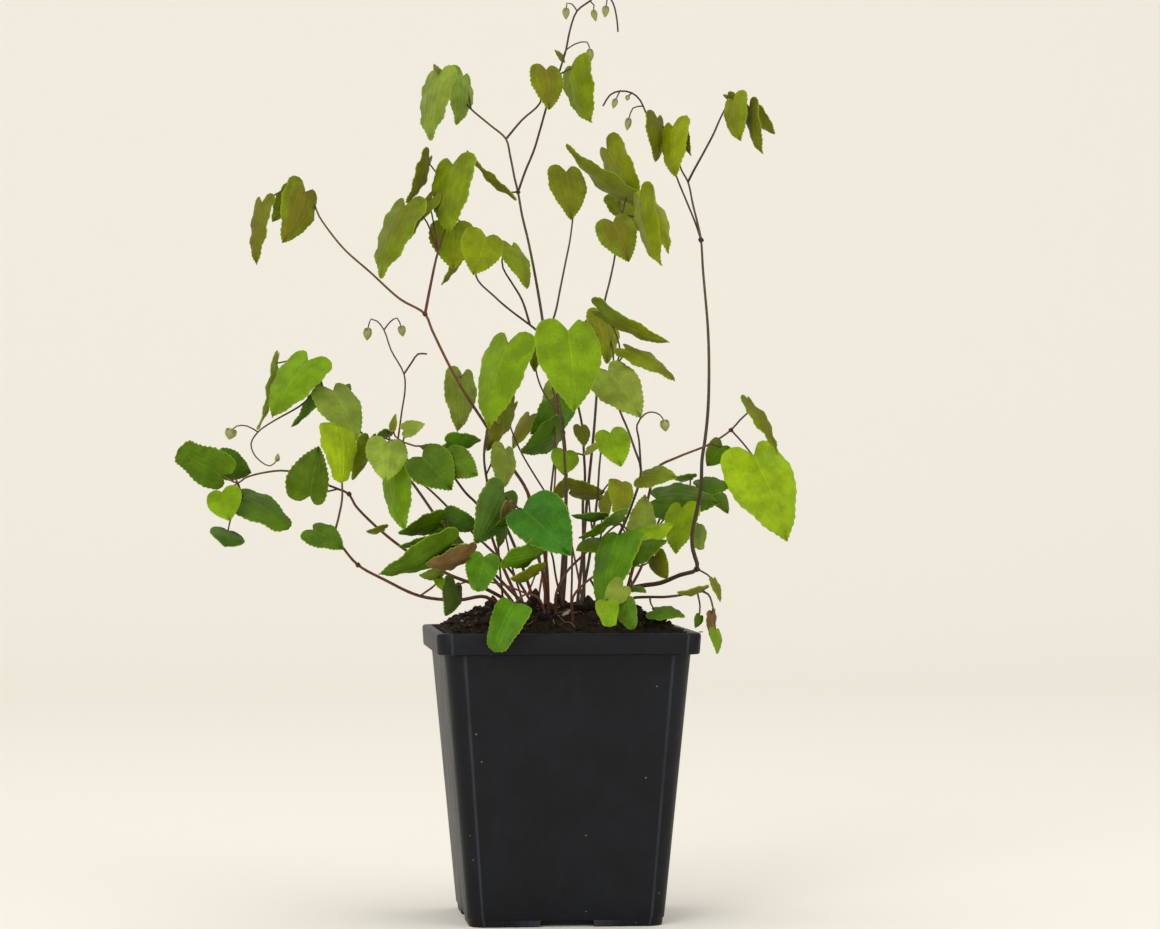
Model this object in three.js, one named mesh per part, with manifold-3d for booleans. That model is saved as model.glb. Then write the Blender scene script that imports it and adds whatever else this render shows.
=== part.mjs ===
// A barrenwort in its square nursery pot.
// The pot, the soil in it and each leafy stem of the plant are separate closed solids.
// Millimetres, +Z up, with the origin at the middle of the pot's foot.

import * as THREE from 'three';
import { mergeVertices } from 'three/addons/utils/BufferGeometryUtils.js';
import Module from 'manifold-3d';

const wasm = await Module();
wasm.setup();

// The pot: a square plastic pot of the 9 cm size
const POT_HEIGHT = 100;
const RIM_WIDTH = 90;
const RIM_HEIGHT = 7.2;
const BODY_TOP_WIDTH = 84;
const FOOT_WIDTH = 67;
const RIM_CORNER = 6;
const BODY_TOP_CORNER = 8;
const FOOT_CORNER = 6;
const WALL = 1.4;
const FLOOR = 1.6;
const CORNER_STEPS = 2;
const LEDGE_HEIGHT = 2.4;
const LEDGE_DEPTH = 0.4;
const NOTCH_WIDTH = 18;
const NOTCH_HEIGHT = 2.3;
const NOTCH_DEPTH = 7;

// The soil: a loose mound that stands a little above the rim
const CLEARANCE = 0.3;
const SOIL_EDGE_HEIGHT = 99.4;
const SOIL_MOUND = 7.6;
const SOIL_STEEPNESS = 3.2;
const SOIL_LUMP = 1.3;
const SOIL_CELLS = 12;
const ROOT_DEPTH = 12;

// Edges shorter than this, left where solids join, are closed up
const SLIVER = 0.06;

// The plant: blade, stalk and bud sizes
const BLADE_THICKNESS = 0.75;
const BLADE_ASPECT = 0.8;
const LEAST_TURN = THREE.MathUtils.degToRad(9);
const MOST_TURN = THREE.MathUtils.degToRad(60);
const BLADE_FOLD = -0.2;
const BLADE_BULGE = 0.07;
const BLADE_WAVE = 0.02;
const SMALL_BLADE = 12;
const THICK_STALK = 1.25;
const PETIOLE_WIDTH = 0.92;
const PETIOLE_SPREAD = 0.03;
const ROOT_SWELL = 1.15;
const LONGEST_STEP = 28;

// The plant was measured in one level view of the whole: places are [across, down, depth], with across
// and down in that view's picture units and depth in millimetres behind the pot's axis.
// The eye is far away, and the pot stands a little turned to it.
const EYE_DISTANCE = 1400;
const EYE_HEIGHT = 157;
const PICTURE_FOCAL = 4028;
const PICTURE_MIDDLE = { across: 580, down: 464.5 };
const AXIS_OFFSET = 7.56;
const POT_TURN = THREE.MathUtils.degToRad(5.6);

// The leafy stems. Each grows from its root along its stalks; a leaf or bud hangs on its own thin stalk,
// which starts on one of them. A width is in picture units for leaves and buds, and in millimetres for
// stalks and knots.
const LEAFY_STEMS = [
  {
    name: 'centre_tall',
    root: { across: 560, depth: 14 },
    stalks: [
      { thick: 1.7, thin: 1.3, way: [
          [563, 560, 15], [566, 500, 17], [565, 450, 19], [559, 405, 22], [552, 370, 25],
          [545, 337, 28],
      ] },
      { thick: 1.3, thin: 1.1, way: [
          [545, 337, 28], [541, 310, 30], [535, 275, 34], [528, 240, 38], [522, 215, 41],
          [518, 192, 44],
      ] },
      { thick: 1.1, thin: 1, way: [[518, 192, 44], [515, 180, 45], [510, 155, 47], [506, 139, 48]] },
      { thick: 1, thin: 0.8, way: [[506, 139, 48], [490, 125, 46], [471, 109, 45]] },
      { thick: 1, thin: 0.8, way: [[506, 139, 48], [522, 120, 52], [540, 103, 56]] },
      { thick: 1, thin: 0.8, way: [
          [518, 192, 44], [525, 172, 50], [534, 150, 56], [540, 130, 60], [547, 105, 63],
          [553, 85, 65], [558, 75, 65], [563, 60, 65], [566, 50, 65],
      ] },
      { thick: 0.8, thin: 0.8, way: [
          [566, 50, 65], [570, 30, 64], [577, 11, 63], [590, 1, 62], [599, -6, 61],
          [606, -6, 60], [613, 3, 59], [617, 20, 58], [618, 32, 58],
      ] },
      { thick: 1, thin: 0.8, way: [
          [545, 337, 28], [530, 325, 23], [510, 310, 17], [495, 297, 11], [476, 276, 5],
      ] },
      { thick: 1, thin: 0.8, way: [[530, 325, 23], [522, 300, 25], [510, 280, 23], [503, 268, 22]] },
      { thick: 1, thin: 0.8, way: [
          [545, 337, 28], [550, 328, 32], [556, 310, 39], [560, 290, 45], [565, 265, 50],
          [570, 240, 54], [573, 215, 57],
      ] },
    ],
    knots: [
      { width: 1.9, at: [518, 192, 44] },
    ],
    leaves: [
      { base: [438, 77, 36], tip: [431, 141, 30], width: 31, side: -1,
        stalk: [[471, 109, 45], [459, 94, 51], [446, 83, 44]] },
      { base: [463, 77, 47], tip: [456, 125, 41], width: 27, side: 1,
        stalk: [[471, 109, 45], [468, 92, 48]] },
      { base: [546, 70, 56], tip: [549, 110, 51], width: 32, side: 1,
        stalk: [[540, 103, 56], [544, 85, 58]] },
      { base: [572, 66, 63], tip: [592, 123, 56], width: 33, side: -1, lobe: 0.5,
        stalk: [[558, 75, 65]] },
      { base: [509, 194, 42], tip: [467, 150, 38], width: 7, side: 1,
        stalk: [[518, 192, 44]] },
      { base: [486, 237, 1], tip: [473, 275, -4], width: 43, side: 1,
        stalk: [[476, 276, 5], [481, 255, 4]] },
      { base: [512, 247, 22], tip: [527, 289, 16], width: 22, side: 1,
        stalk: [[503, 268, 22], [503, 255, 23]] },
      { base: [566, 172, 56], tip: [571, 220, 50], width: 37, side: 1,
        stalk: [[573, 215, 57], [574, 190, 59]] },
    ],
    buds: [
      { top: [566, 7, 63], end: [566, 20, 63], width: 7,
        stalk: [[577, 11, 63], [572, 4, 63], [567, 3, 63]] },
      { top: [593, 9, 62], end: [596, 22, 62], width: 6,
        stalk: [[590, 1, 62], [594, 5, 62]] },
      { top: [606, 5, 59], end: [605, 18, 59], width: 7,
        stalk: [[606, -6, 60], [607, 0, 59]] },
      { top: [590, 48, 66], end: [590, 63, 66], width: 8,
        stalk: [[566, 50, 65], [575, 44, 66], [587, 42, 66]] },
    ],
  },
  {
    name: 'left_long',
    root: { across: 548, depth: 3 },
    stalks: [
      { thick: 1.7, thin: 1.3, way: [
          [545, 555, 1], [527, 491, -3], [512, 467, -4], [487, 427, -6], [457, 380, -9],
          [432, 330, -11], [425, 314, -12],
      ] },
      { thick: 1.2, thin: 0.9, way: [
          [425, 314, -12], [400, 299, -14], [370, 272, -18], [345, 250, -21], [330, 232, -23],
          [319, 216, -24],
      ] },
      { thick: 1.2, thin: 0.9, way: [[425, 314, -12], [431, 283, -4], [438, 252, 6], [452, 215, 20]] },
    ],
    knots: [
      { width: 2, at: [425, 314, -12] },
    ],
    leaves: [
      { base: [305, 192, -26], tip: [282, 243, -34], width: 38, side: 1,
        stalk: [[319, 216, -24], [313, 201, -20]] },
      { base: [294, 190, -15], tip: [272, 222, -11], width: 20, side: 1,
        stalk: [[313, 201, -20]] },
      { base: [262, 204, -26], tip: [257, 265, -32], width: 18, side: -1,
        stalk: [[313, 201, -20], [294, 190, -17], [276, 194, -22]] },
      { base: [453, 226, 23], tip: [453, 269, 19], width: 46, side: 1,
        stalk: [[452, 215, 20]] },
      { base: [453, 165, 15], tip: [450, 234, 7], width: 41, side: -1,
        stalk: [[452, 215, 20], [455, 185, 20]] },
      { base: [428, 159, 23], tip: [406, 203, 15], width: 14, side: 1,
        stalk: [[452, 215, 20], [442, 182, 28]] },
      { base: [405, 207, 3], tip: [381, 279, -4], width: 34, side: -1,
        stalk: [[438, 252, 6], [424, 218, 11]] },
      { base: [430, 201, 15], tip: [392, 262, 13], width: 13, side: -1,
        stalk: [[438, 252, 6], [434, 225, 14]] },
      { base: [462, 251, 30], tip: [441, 285, 28], width: 9, side: 1,
        stalk: [[452, 215, 20], [462, 225, 29], [464, 240, 31]] },
      { base: [462, 376, 2], tip: [457, 432, 0], width: 32, side: 1,
        stalk: [[457, 380, -9], [459, 376, -3]] },
    ],
  },
  {
    name: 'right_tall',
    root: { across: 612, depth: 6 },
    stalks: [
      { thick: 2, thin: 1.7, way: [
          [621, 592, 6], [640, 586, 6], [660, 583, 6], [680, 575, 5], [697, 569, 4],
      ] },
      { thick: 1.5, thin: 1.3, way: [
          [697, 569, 4], [693, 550, 3], [692, 535, 3], [697, 510, 4], [701, 487, 6],
          [702, 460, 10], [705, 440, 14], [708, 410, 20], [709, 370, 24], [708, 330, 26],
          [703, 270, 28], [701, 240, 28],
      ] },
      { thick: 1.2, thin: 1, way: [[701, 240, 28], [698, 225, 28], [693, 205, 27], [688, 182, 26]] },
      { thick: 1, thin: 0.8, way: [[688, 182, 26], [681, 169, 27], [677, 150, 29]] },
      { thick: 0.8, thin: 0.8, way: [
          [701, 240, 28], [695, 222, 32], [686, 200, 34], [677, 178, 35], [668, 150, 35],
          [660, 132, 34], [648, 117, 32], [640, 100, 31], [632, 93, 30], [620, 91, 29],
          [610, 95, 28], [603, 106, 27],
      ] },
      { thick: 1, thin: 0.8, way: [
          [688, 182, 26], [693, 172, 25], [704, 152, 22], [714, 133, 19], [720, 119, 17],
      ] },
    ],
    knots: [
      { width: 2.4, at: [697, 569, 4] },
      { width: 2.2, at: [701, 240, 28] },
    ],
    leaves: [
      { base: [673, 127, 21], tip: [676, 177, 15], width: 27, side: -1,
        stalk: [[677, 150, 29]] },
      { base: [657, 119, 27], tip: [655, 162, 23], width: 20, side: 1,
        stalk: [[677, 150, 29], [665, 130, 31]] },
      { base: [684, 122, 32], tip: [691, 156, 29], width: 8, side: -1,
        stalk: [[677, 150, 29], [684, 132, 31]] },
      { base: [733, 101, 9], tip: [741, 141, 3], width: 25, side: -1,
        stalk: [[720, 119, 17], [727, 106, 17]] },
      { base: [729, 96, 20], tip: [750, 112, 24], width: 8, side: -1,
        stalk: [[727, 106, 17]] },
      { base: [750, 108, 8], tip: [763, 154, 2], width: 15, side: -1,
        stalk: [[727, 106, 17], [740, 104, 16]] },
      { base: [754, 111, 17], tip: [775, 134, 20], width: 14, side: -1,
        stalk: [[740, 104, 16]] },
      { base: [714, 580, 2], tip: [720, 602, 0], width: 8, side: 1,
        stalk: [[697, 569, 4], [708, 575, 3]] },
    ],
    buds: [
      { top: [628, 95, 30], end: [627, 101, 30], width: 5,
        stalk: [[632, 93, 30]] },
      { top: [629, 117, 32], end: [627, 131, 32], width: 7,
        stalk: [[643, 106, 32], [633, 108, 32]] },
      { top: [616, 98, 28], end: [613, 109, 28], width: 6,
        stalk: [[620, 91, 29]] },
    ],
  },
  {
    name: 'right_upper',
    root: { across: 577, depth: 24 },
    stalks: [
      { thick: 1.5, thin: 1.2, way: [
          [582, 560, 27], [588, 490, 31], [594, 430, 36], [597, 390, 40], [601, 340, 44],
          [604, 305, 47], [610, 280, 50], [615, 255, 54], [616, 238, 57],
      ] },
      { thick: 1, thin: 0.8, way: [[616, 238, 57], [622, 215, 64], [628, 195, 72]] },
      { thick: 0.9, thin: 0.8, way: [[622, 215, 64], [640, 216, 66]] },
    ],
    leaves: [
      { base: [613, 222, 54], tip: [629, 262, 47], width: 39, side: 1,
        stalk: [[616, 238, 57]] },
      { base: [632, 200, 71], tip: [566, 144, 63], width: 19, side: 1,
        stalk: [[628, 195, 72]] },
      { base: [608, 150, 82], tip: [643, 200, 76], width: 30, side: -1,
        stalk: [[628, 195, 72], [620, 170, 85]] },
      { base: [619, 197, 87], tip: [640, 232, 81], width: 28, side: 1,
        stalk: [[622, 215, 64], [619, 205, 82]] },
      { base: [641, 198, 54], tip: [662, 266, 46], width: 25, side: -1,
        stalk: [[640, 216, 66], [643, 201, 60]] },
      { base: [650, 199, 63], tip: [668, 254, 57], width: 20, side: 1,
        stalk: [[640, 216, 66], [650, 205, 68]] },
    ],
  },
  {
    name: 'right_middle',
    root: { across: 596, depth: -3 },
    stalks: [
      { thick: 1.5, thin: 1.1, way: [
          [608, 560, -4], [630, 510, -4], [641, 470, -4], [635, 450, -3], [628, 430, -2],
          [618, 405, 0], [613, 371, 4],
      ] },
      { thick: 0.9, thin: 0.8, way: [
          [641, 470, -4], [639, 440, -8], [637, 425, -10], [645, 414, -11], [652, 412, -11],
          [660, 415, -11],
      ] },
    ],
    knots: [
      { width: 1.8, at: [613, 371, 4] },
    ],
    leaves: [
      { base: [608, 371, -4], tip: [641, 418, -12], width: 45, side: 1,
        stalk: [[613, 371, 4]] },
      { base: [627, 350, 4], tip: [675, 381, -2], width: 17, side: 1,
        stalk: [[613, 371, 4], [620, 360, 6]] },
      { base: [601, 311, 12], tip: [670, 342, 3], width: 17, side: -1,
        stalk: [[613, 371, 4], [620, 350, 12], [612, 325, 15]] },
      { base: [603, 316, 27], tip: [607, 364, 22], width: 30, side: 1,
        stalk: [[613, 371, 4], [612, 345, 24]] },
      { base: [583, 324, 31], tip: [580, 362, 27], width: 24, side: -1,
        stalk: [[612, 345, 24], [596, 330, 32]] },
      { base: [643, 476, -15], tip: [677, 478, -23], width: 22, side: 1,
        stalk: [[641, 470, -4]] },
    ],
    buds: [
      { top: [664, 419, -11], end: [666, 432, -11], width: 10,
        stalk: [[660, 415, -11]] },
    ],
  },
  {
    name: 'centre_front',
    root: { across: 563, depth: -8 },
    stalks: [
      { thick: 1.5, thin: 1.1, way: [
          [566, 560, -11], [566, 500, -15], [564, 450, -20], [560, 415, -25], [558, 380, -29],
      ] },
    ],
    leaves: [
      { base: [568, 331, -33], tip: [574, 412, -42], width: 65, side: 1,
        stalk: [[558, 380, -29], [563, 355, -31]] },
      { base: [537, 345, -19], tip: [535, 372, -22], width: 14, side: -1,
        stalk: [[560, 415, -25], [545, 395, -28], [536, 370, -22]] },
      { base: [553, 385, -20], tip: [543, 401, -22], width: 14, side: 1,
        stalk: [[560, 415, -25]] },
    ],
  },
  {
    name: 'left_front',
    root: { across: 534, depth: -8 },
    stalks: [
      { thick: 1.5, thin: 1.1, way: [
          [520, 560, -10], [503, 520, -13], [491, 498, -14], [486, 475, -16], [484, 455, -18],
          [487, 432, -20], [497, 400, -20], [505, 370, -20],
      ] },
    ],
    leaves: [
      { base: [508, 344, -22], tip: [489, 429, -28], width: 47, side: -1,
        stalk: [[505, 370, -20]] },
      { base: [505, 450, -13], tip: [500, 491, -17], width: 25, side: 1,
        stalk: [[486, 475, -16], [496, 456, -14]] },
      { base: [497, 425, -13], tip: [487, 451, -13], width: 16, side: 1,
        stalk: [[484, 455, -18], [490, 432, -14]] },
    ],
  },
  {
    name: 'centre_inner',
    root: { across: 584, depth: 12 },
    stalks: [
      { thick: 1.4, thin: 1, way: [
          [584, 560, 13], [583, 500, 14], [585, 480, 14], [584, 455, 14], [582, 425, 15],
          [578, 405, 16],
      ] },
    ],
    leaves: [
      { base: [581, 427, 11], tip: [584, 447, 8], width: 16, side: 1,
        stalk: [[582, 425, 15]] },
      { base: [565, 452, 7], tip: [563, 475, 2], width: 28, side: 1,
        stalk: [[584, 455, 14], [574, 453, 10]] },
      { base: [571, 490, 4], tip: [605, 491, -4], width: 21, side: -1,
        stalk: [[583, 500, 14], [577, 490, 8]] },
      { base: [566, 487, 7], tip: [550, 499, 3], width: 14, side: 1,
        stalk: [[583, 500, 14], [574, 488, 10]] },
    ],
  },
  {
    name: 'back_low',
    root: { across: 545, depth: 28 },
    stalks: [
      { thick: 1.5, thin: 1, way: [[546, 560, 31], [550, 500, 35], [556, 450, 38], [562, 420, 39]] },
    ],
    leaves: [
      { base: [566, 404, 37], tip: [530, 434, 30], width: 36, side: 1,
        stalk: [[562, 420, 39]] },
      { base: [560, 430, 29], tip: [520, 452, 22], width: 28, side: 1,
        stalk: [[556, 450, 38]] },
      { base: [529, 417, 47], tip: [513, 449, 45], width: 16, side: -1,
        stalk: [[556, 450, 38], [540, 425, 46]] },
      { base: [513, 405, 19], tip: [487, 449, 13], width: 16, side: 1,
        stalk: [[550, 500, 35], [520, 450, 36], [508, 415, 24]] },
    ],
  },
  {
    name: 'flower_stalk',
    root: { across: 530, depth: 12 },
    stalks: [
      { thick: 1.2, thin: 0.9, way: [
          [510, 570, 14], [470, 530, 18], [430, 490, 20], [400, 466, 20], [394, 457, 20],
          [397, 445, 20], [402, 410, 20], [405, 390, 20], [404, 374, 20], [391, 350, 20],
          [384, 330, 20], [377, 321, 20], [371, 319, 20],
      ] },
      { thick: 0.8, thin: 0.8, way: [[404, 374, 20], [412, 362, 20], [418, 354, 20], [427, 354, 20]] },
    ],
    buds: [
      { top: [401, 325, 20], end: [403, 337, 20], width: 8,
        stalk: [[384, 330, 20], [390, 322, 20], [397, 318, 20]] },
      { top: [368, 327, 20], end: [367, 341, 20], width: 9,
        stalk: [[371, 319, 20]] },
    ],
  },
  {
    name: 'far_left_high',
    root: { across: 514, depth: 16 },
    stalks: [
      { thick: 1.5, thin: 1, way: [
          [490, 575, 20], [450, 535, 26], [410, 480, 32], [385, 453, 34], [358, 430, 35],
          [345, 418, 36], [332, 402, 36], [323, 388, 36],
      ] },
      { thick: 0.8, thin: 0.8, way: [
          [323, 388, 36], [300, 406, 32], [272, 422, 27], [258, 432, 24], [251, 444, 22],
          [256, 457, 21], [270, 466, 20],
      ] },
    ],
    leaves: [
      { base: [308, 361, 36], tip: [272, 418, 27], width: 42, side: -1,
        stalk: [[323, 388, 36], [318, 372, 39]] },
      { base: [276, 362, 47], tip: [257, 430, 43], width: 9, side: 1,
        stalk: [[318, 372, 39], [300, 360, 46]] },
      { base: [320, 391, 42], tip: [291, 427, 39], width: 11, side: 1,
        stalk: [[323, 388, 36]] },
      { base: [333, 391, 33], tip: [357, 441, 25], width: 40, side: 1,
        stalk: [[323, 388, 36]] },
    ],
    buds: [
      { top: [232, 428, 24], end: [229, 440, 24], width: 12,
        stalk: [[258, 432, 24], [247, 426, 24], [237, 426, 24]] },
      { top: [277, 462, 20], end: [278, 453, 20], width: 5,
        stalk: [[270, 466, 20]] },
    ],
  },
  {
    name: 'far_left_middle',
    root: { across: 508, depth: 1 },
    stalks: [
      { thick: 1.6, thin: 1.2, way: [
          [484, 588, -2], [450, 575, -6], [410, 553, -9], [380, 530, -11], [355, 505, -12],
          [349, 494, -12],
      ] },
      { thick: 1.2, thin: 0.9, way: [
          [349, 494, -12], [338, 489, -12], [325, 484, -12], [288, 471, -13], [262, 473, -16],
          [245, 478, -19], [238, 483, -21],
      ] },
    ],
    knots: [
      { width: 2, at: [349, 494, -12] },
    ],
    leaves: [
      { base: [310, 496, -19], tip: [319, 446, -21], width: 43, side: 1, skew: -0.25,
        stalk: [[338, 489, -12], [325, 492, -16]] },
      { base: [222, 475, -22], tip: [178, 449, -27], width: 40, side: 1, blunt: 0.6,
        stalk: [[238, 483, -21], [230, 480, -22]] },
      { base: [222, 462, -14], tip: [251, 473, -6], width: 31, side: 1,
        stalk: [[238, 483, -21], [232, 474, -16]] },
      { base: [222, 492, -25], tip: [230, 521, -31], width: 36, side: -1,
        stalk: [[238, 483, -21]] },
      { base: [228, 531, -16], tip: [225, 547, -25], width: 36, side: 1,
        stalk: [[238, 483, -21], [238, 500, -9], [231, 518, -10]] },
      { base: [242, 496, -16], tip: [288, 530, -24], width: 33, side: 1, blunt: 0.4,
        stalk: [[238, 483, -21]] },
    ],
  },
  {
    name: 'far_left_low',
    root: { across: 504, depth: -8 },
    stalks: [
      { thick: 1.6, thin: 1.1, way: [
          [486, 597, -12], [458, 600, -17], [420, 596, -21], [385, 580, -24], [358, 565, -26],
      ] },
      { thick: 1.1, thin: 0.9, way: [
          [358, 565, -26], [344, 549, -27], [335, 535, -28], [338, 520, -28], [342, 500, -28],
          [342, 483, -28], [339, 450, -28],
      ] },
    ],
    knots: [
      { width: 2, at: [358, 565, -26] },
    ],
    leaves: [
      { base: [339, 426, -31], tip: [341, 483, -35], width: 35, side: 1, lobe: 0.3, blunt: 0.35,
        stalk: [[339, 450, -28]] },
      { base: [313, 530, -32], tip: [343, 550, -39], width: 28, side: 1,
        stalk: [[335, 535, -28], [325, 528, -28]] },
      { base: [442, 573, -24], tip: [419, 575, -28], width: 13, side: 1,
        stalk: [[420, 596, -21], [436, 584, -22]] },
    ],
  },
  {
    name: 'left_middle',
    root: { across: 520, depth: -16 },
    stalks: [
      { thick: 1.5, thin: 1.1, way: [
          [500, 560, -20], [480, 508, -26], [465, 492, -29], [448, 468, -33], [443, 461, -34],
      ] },
      { thick: 0.9, thin: 0.8, way: [
          [443, 461, -34], [435, 447, -32], [415, 446, -30], [403, 442, -28], [390, 440, -27],
      ] },
    ],
    leaves: [
      { base: [447, 458, -36], tip: [478, 476, -41], width: 34, side: 1,
        stalk: [[443, 461, -34]] },
      { base: [448, 443, -28], tip: [481, 440, -22], width: 18, side: -1,
        stalk: [[443, 461, -34], [444, 448, -30]] },
      { base: [422, 457, -36], tip: [452, 490, -44], width: 46, side: 1,
        stalk: [[443, 461, -34], [432, 456, -34]] },
      { base: [404, 430, -29], tip: [425, 424, -29], width: 16, side: 1,
        stalk: [[403, 442, -28]] },
      { base: [388, 443, -31], tip: [385, 482, -37], width: 42, side: 1,
        stalk: [[390, 440, -27]] },
      { base: [393, 472, -22], tip: [405, 530, -28], width: 30, side: -1,
        stalk: [[403, 442, -28], [400, 455, -22]] },
      { base: [369, 440, -21], tip: [352, 480, -18], width: 18, side: 1,
        stalk: [[390, 440, -27], [380, 437, -24]] },
    ],
  },
  {
    name: 'front_centre',
    root: { across: 549, depth: -20 },
    stalks: [
      { thick: 1.5, thin: 1.1, way: [[545, 580, -25], [535, 550, -33], [525, 525, -41], [518, 508, -46]] },
    ],
    leaves: [
      { base: [523, 509, -48], tip: [571, 556, -58], width: 58, side: 1, skew: -0.2, lobe: 0.6,
        stalk: [[518, 508, -46]] },
      { base: [504, 493, -37], tip: [474, 544, -42], width: 40, side: 1,
        stalk: [[525, 525, -41], [516, 505, -36]] },
      { base: [545, 549, -43], tip: [502, 560, -56], width: 26, side: 1, lobe: 0.5, blunt: 0.5,
        stalk: [[535, 550, -33]] },
    ],
  },
  {
    name: 'front_left',
    root: { across: 530, depth: -25 },
    stalks: [
      { thick: 1.5, thin: 1.1, way: [[510, 590, -32], [490, 570, -38], [465, 550, -42], [448, 535, -44]] },
    ],
    leaves: [
      { base: [450, 545, -54], tip: [378, 574, -58], width: 28, side: 1,
        stalk: [[448, 535, -44], [446, 538, -51]] },
      { base: [440, 521, -43], tip: [398, 533, -46], width: 19, side: 1,
        stalk: [[448, 535, -44], [444, 524, -43]] },
      { base: [446, 517, -41], tip: [480, 528, -36], width: 24, side: -1,
        stalk: [[448, 535, -44]] },
      { base: [434, 530, -38], tip: [464, 543, -34], width: 18, side: 1,
        stalk: [[465, 550, -42], [452, 541, -39]] },
      { base: [468, 556, -48], tip: [425, 563, -56], width: 22, side: 1,
        stalk: [[465, 550, -42]] },
      { base: [484, 557, -46], tip: [478, 592, -52], width: 33, side: -1, blunt: 0.3,
        stalk: [[490, 570, -38], [487, 560, -42]] },
    ],
  },
  {
    name: 'front_low',
    root: { across: 545, depth: -33 },
    stalks: [
      { thick: 1.4, thin: 1, way: [[540, 600, -38], [528, 594, -45], [520, 598, -51]] },
    ],
    leaves: [
      { base: [514, 603, -54], tip: [494, 652, -56], width: 35, side: -1, lobe: 0.3, blunt: 0.5,
        stalk: [[520, 598, -51]] },
      { base: [455, 584, -47], tip: [445, 616, -53], width: 22, side: 1,
        stalk: [[528, 594, -45], [500, 584, -44], [472, 581, -44]] },
      { base: [538, 572, -42], tip: [510, 578, -50], width: 14, side: 1,
        stalk: [[528, 594, -45]] },
    ],
  },
  {
    name: 'far_right',
    root: { across: 622, depth: -5 },
    stalks: [
      { thick: 1.6, thin: 1.2, way: [
          [640, 540, -6], [650, 490, -7], [657, 468, -8], [678, 457, -8], [710, 444, -8],
          [731, 430, -8],
      ] },
      { thick: 1, thin: 0.8, way: [[731, 430, -8], [740, 420, -9], [751, 409, -10]] },
    ],
    knots: [
      { width: 1.8, at: [731, 430, -8] },
    ],
    leaves: [
      { base: [750, 403, -12], tip: [777, 455, -19], width: 13, side: 1,
        stalk: [[751, 409, -10]] },
      { base: [754, 456, -11], tip: [787, 542, -18], width: 65, side: 1,
        stalk: [[731, 430, -8], [742, 442, -8]] },
      { base: [722, 446, -4], tip: [707, 466, 0], width: 24, side: -1,
        stalk: [[710, 444, -8]] },
    ],
  },
  {
    name: 'right_back',
    root: { across: 618, depth: 18 },
    stalks: [
      { thick: 1.5, thin: 1.1, way: [[640, 570, 24], [655, 530, 30], [668, 505, 35], [690, 490, 38]] },
    ],
    leaves: [
      { base: [657, 499, 28], tip: [720, 504, 22], width: 36, side: 1,
        stalk: [[668, 505, 35], [662, 503, 30]] },
      { base: [697, 486, 39], tip: [732, 487, 36], width: 20, side: 1,
        stalk: [[690, 490, 38]] },
      { base: [714, 492, 47], tip: [728, 514, 44], width: 16, side: 1,
        stalk: [[690, 490, 38], [704, 488, 48]] },
      { base: [682, 508, 17], tip: [676, 554, 11], width: 33, side: -1,
        stalk: [[655, 530, 30], [668, 516, 22]] },
      { base: [699, 524, 26], tip: [699, 550, 23], width: 15, side: 1, lobe: 0.3, blunt: 0.6,
        stalk: [[655, 530, 30], [685, 520, 32]] },
    ],
  },
  {
    name: 'right_trailing',
    root: { across: 622, depth: -16 },
    stalks: [
      { thick: 1.4, thin: 1, way: [
          [630, 599, -19], [650, 597, -22], [664, 597, -25], [681, 595, -27], [697, 591, -29],
          [708, 594, -31], [713, 608, -33], [715, 625, -34],
      ] },
    ],
    leaves: [
      { base: [703, 590, -33], tip: [677, 592, -40], width: 8, side: 1,
        stalk: [[708, 594, -31]] },
      { base: [716, 631, -35], tip: [717, 654, -37], width: 11, side: 1,
        stalk: [[715, 625, -34]] },
      { base: [654, 611, -31], tip: [685, 617, -36], width: 15, side: 1,
        stalk: [[650, 597, -22], [651, 604, -28]] },
    ],
  },
  {
    name: 'right_front',
    root: { across: 580, depth: -16 },
    stalks: [
      { thick: 1.5, thin: 1.1, way: [[589, 560, -13], [597, 500, -17], [600, 460, -20], [604, 436, -23]] },
    ],
    leaves: [
      { base: [610, 433, -25], tip: [621, 467, -31], width: 34, side: 1,
        stalk: [[604, 436, -23]] },
      { base: [622, 482, -23], tip: [620, 516, -27], width: 25, side: 1, lobe: 0.4, blunt: 0.5,
        stalk: [[597, 500, -17], [611, 482, -20]] },
      { base: [604, 496, -20], tip: [608, 519, -25], width: 15, side: -1,
        stalk: [[597, 500, -17]] },
    ],
  },
  {
    name: 'right_low',
    root: { across: 556, depth: -26 },
    stalks: [
      { thick: 1.3, thin: 1, way: [
          [556, 594, -29], [566, 573, -27], [578, 560, -23], [600, 540, -19], [620, 524, -20],
      ] },
    ],
    leaves: [
      { base: [641, 541, -15], tip: [645, 494, -10], width: 30, side: -1,
        stalk: [[620, 524, -20], [632, 536, -18]] },
      { base: [635, 543, -23], tip: [673, 524, -18], width: 23, side: 1,
        stalk: [[620, 524, -20], [628, 536, -22]] },
      { base: [602, 543, -25], tip: [576, 551, -31], width: 17, side: -1,
        stalk: [[600, 540, -19]] },
      { base: [609, 524, -29], tip: [578, 538, -33], width: 9, side: 1,
        stalk: [[620, 524, -20], [615, 525, -26]] },
      { base: [603, 517, -29], tip: [571, 515, -31], width: 9, side: 1,
        stalk: [[600, 540, -19], [602, 528, -26]] },
      { base: [624, 516, -35], tip: [603, 521, -38], width: 13, side: 1,
        stalk: [[620, 524, -20], [624, 524, -30]] },
    ],
  },
  {
    name: 'right_front_low',
    root: { across: 573, depth: -30 },
    stalks: [
      { thick: 1.3, thin: 1, way: [[573, 597, -33], [590, 579, -36], [606, 569, -36], [621, 560, -36]] },
      { thick: 1, thin: 0.9, way: [[590, 579, -36], [597, 590, -40], [606, 596, -45]] },
    ],
    leaves: [
      { base: [619, 535, -38], tip: [604, 603, -48], width: 41, side: -1, lobe: 0.5, blunt: 0.35,
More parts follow.
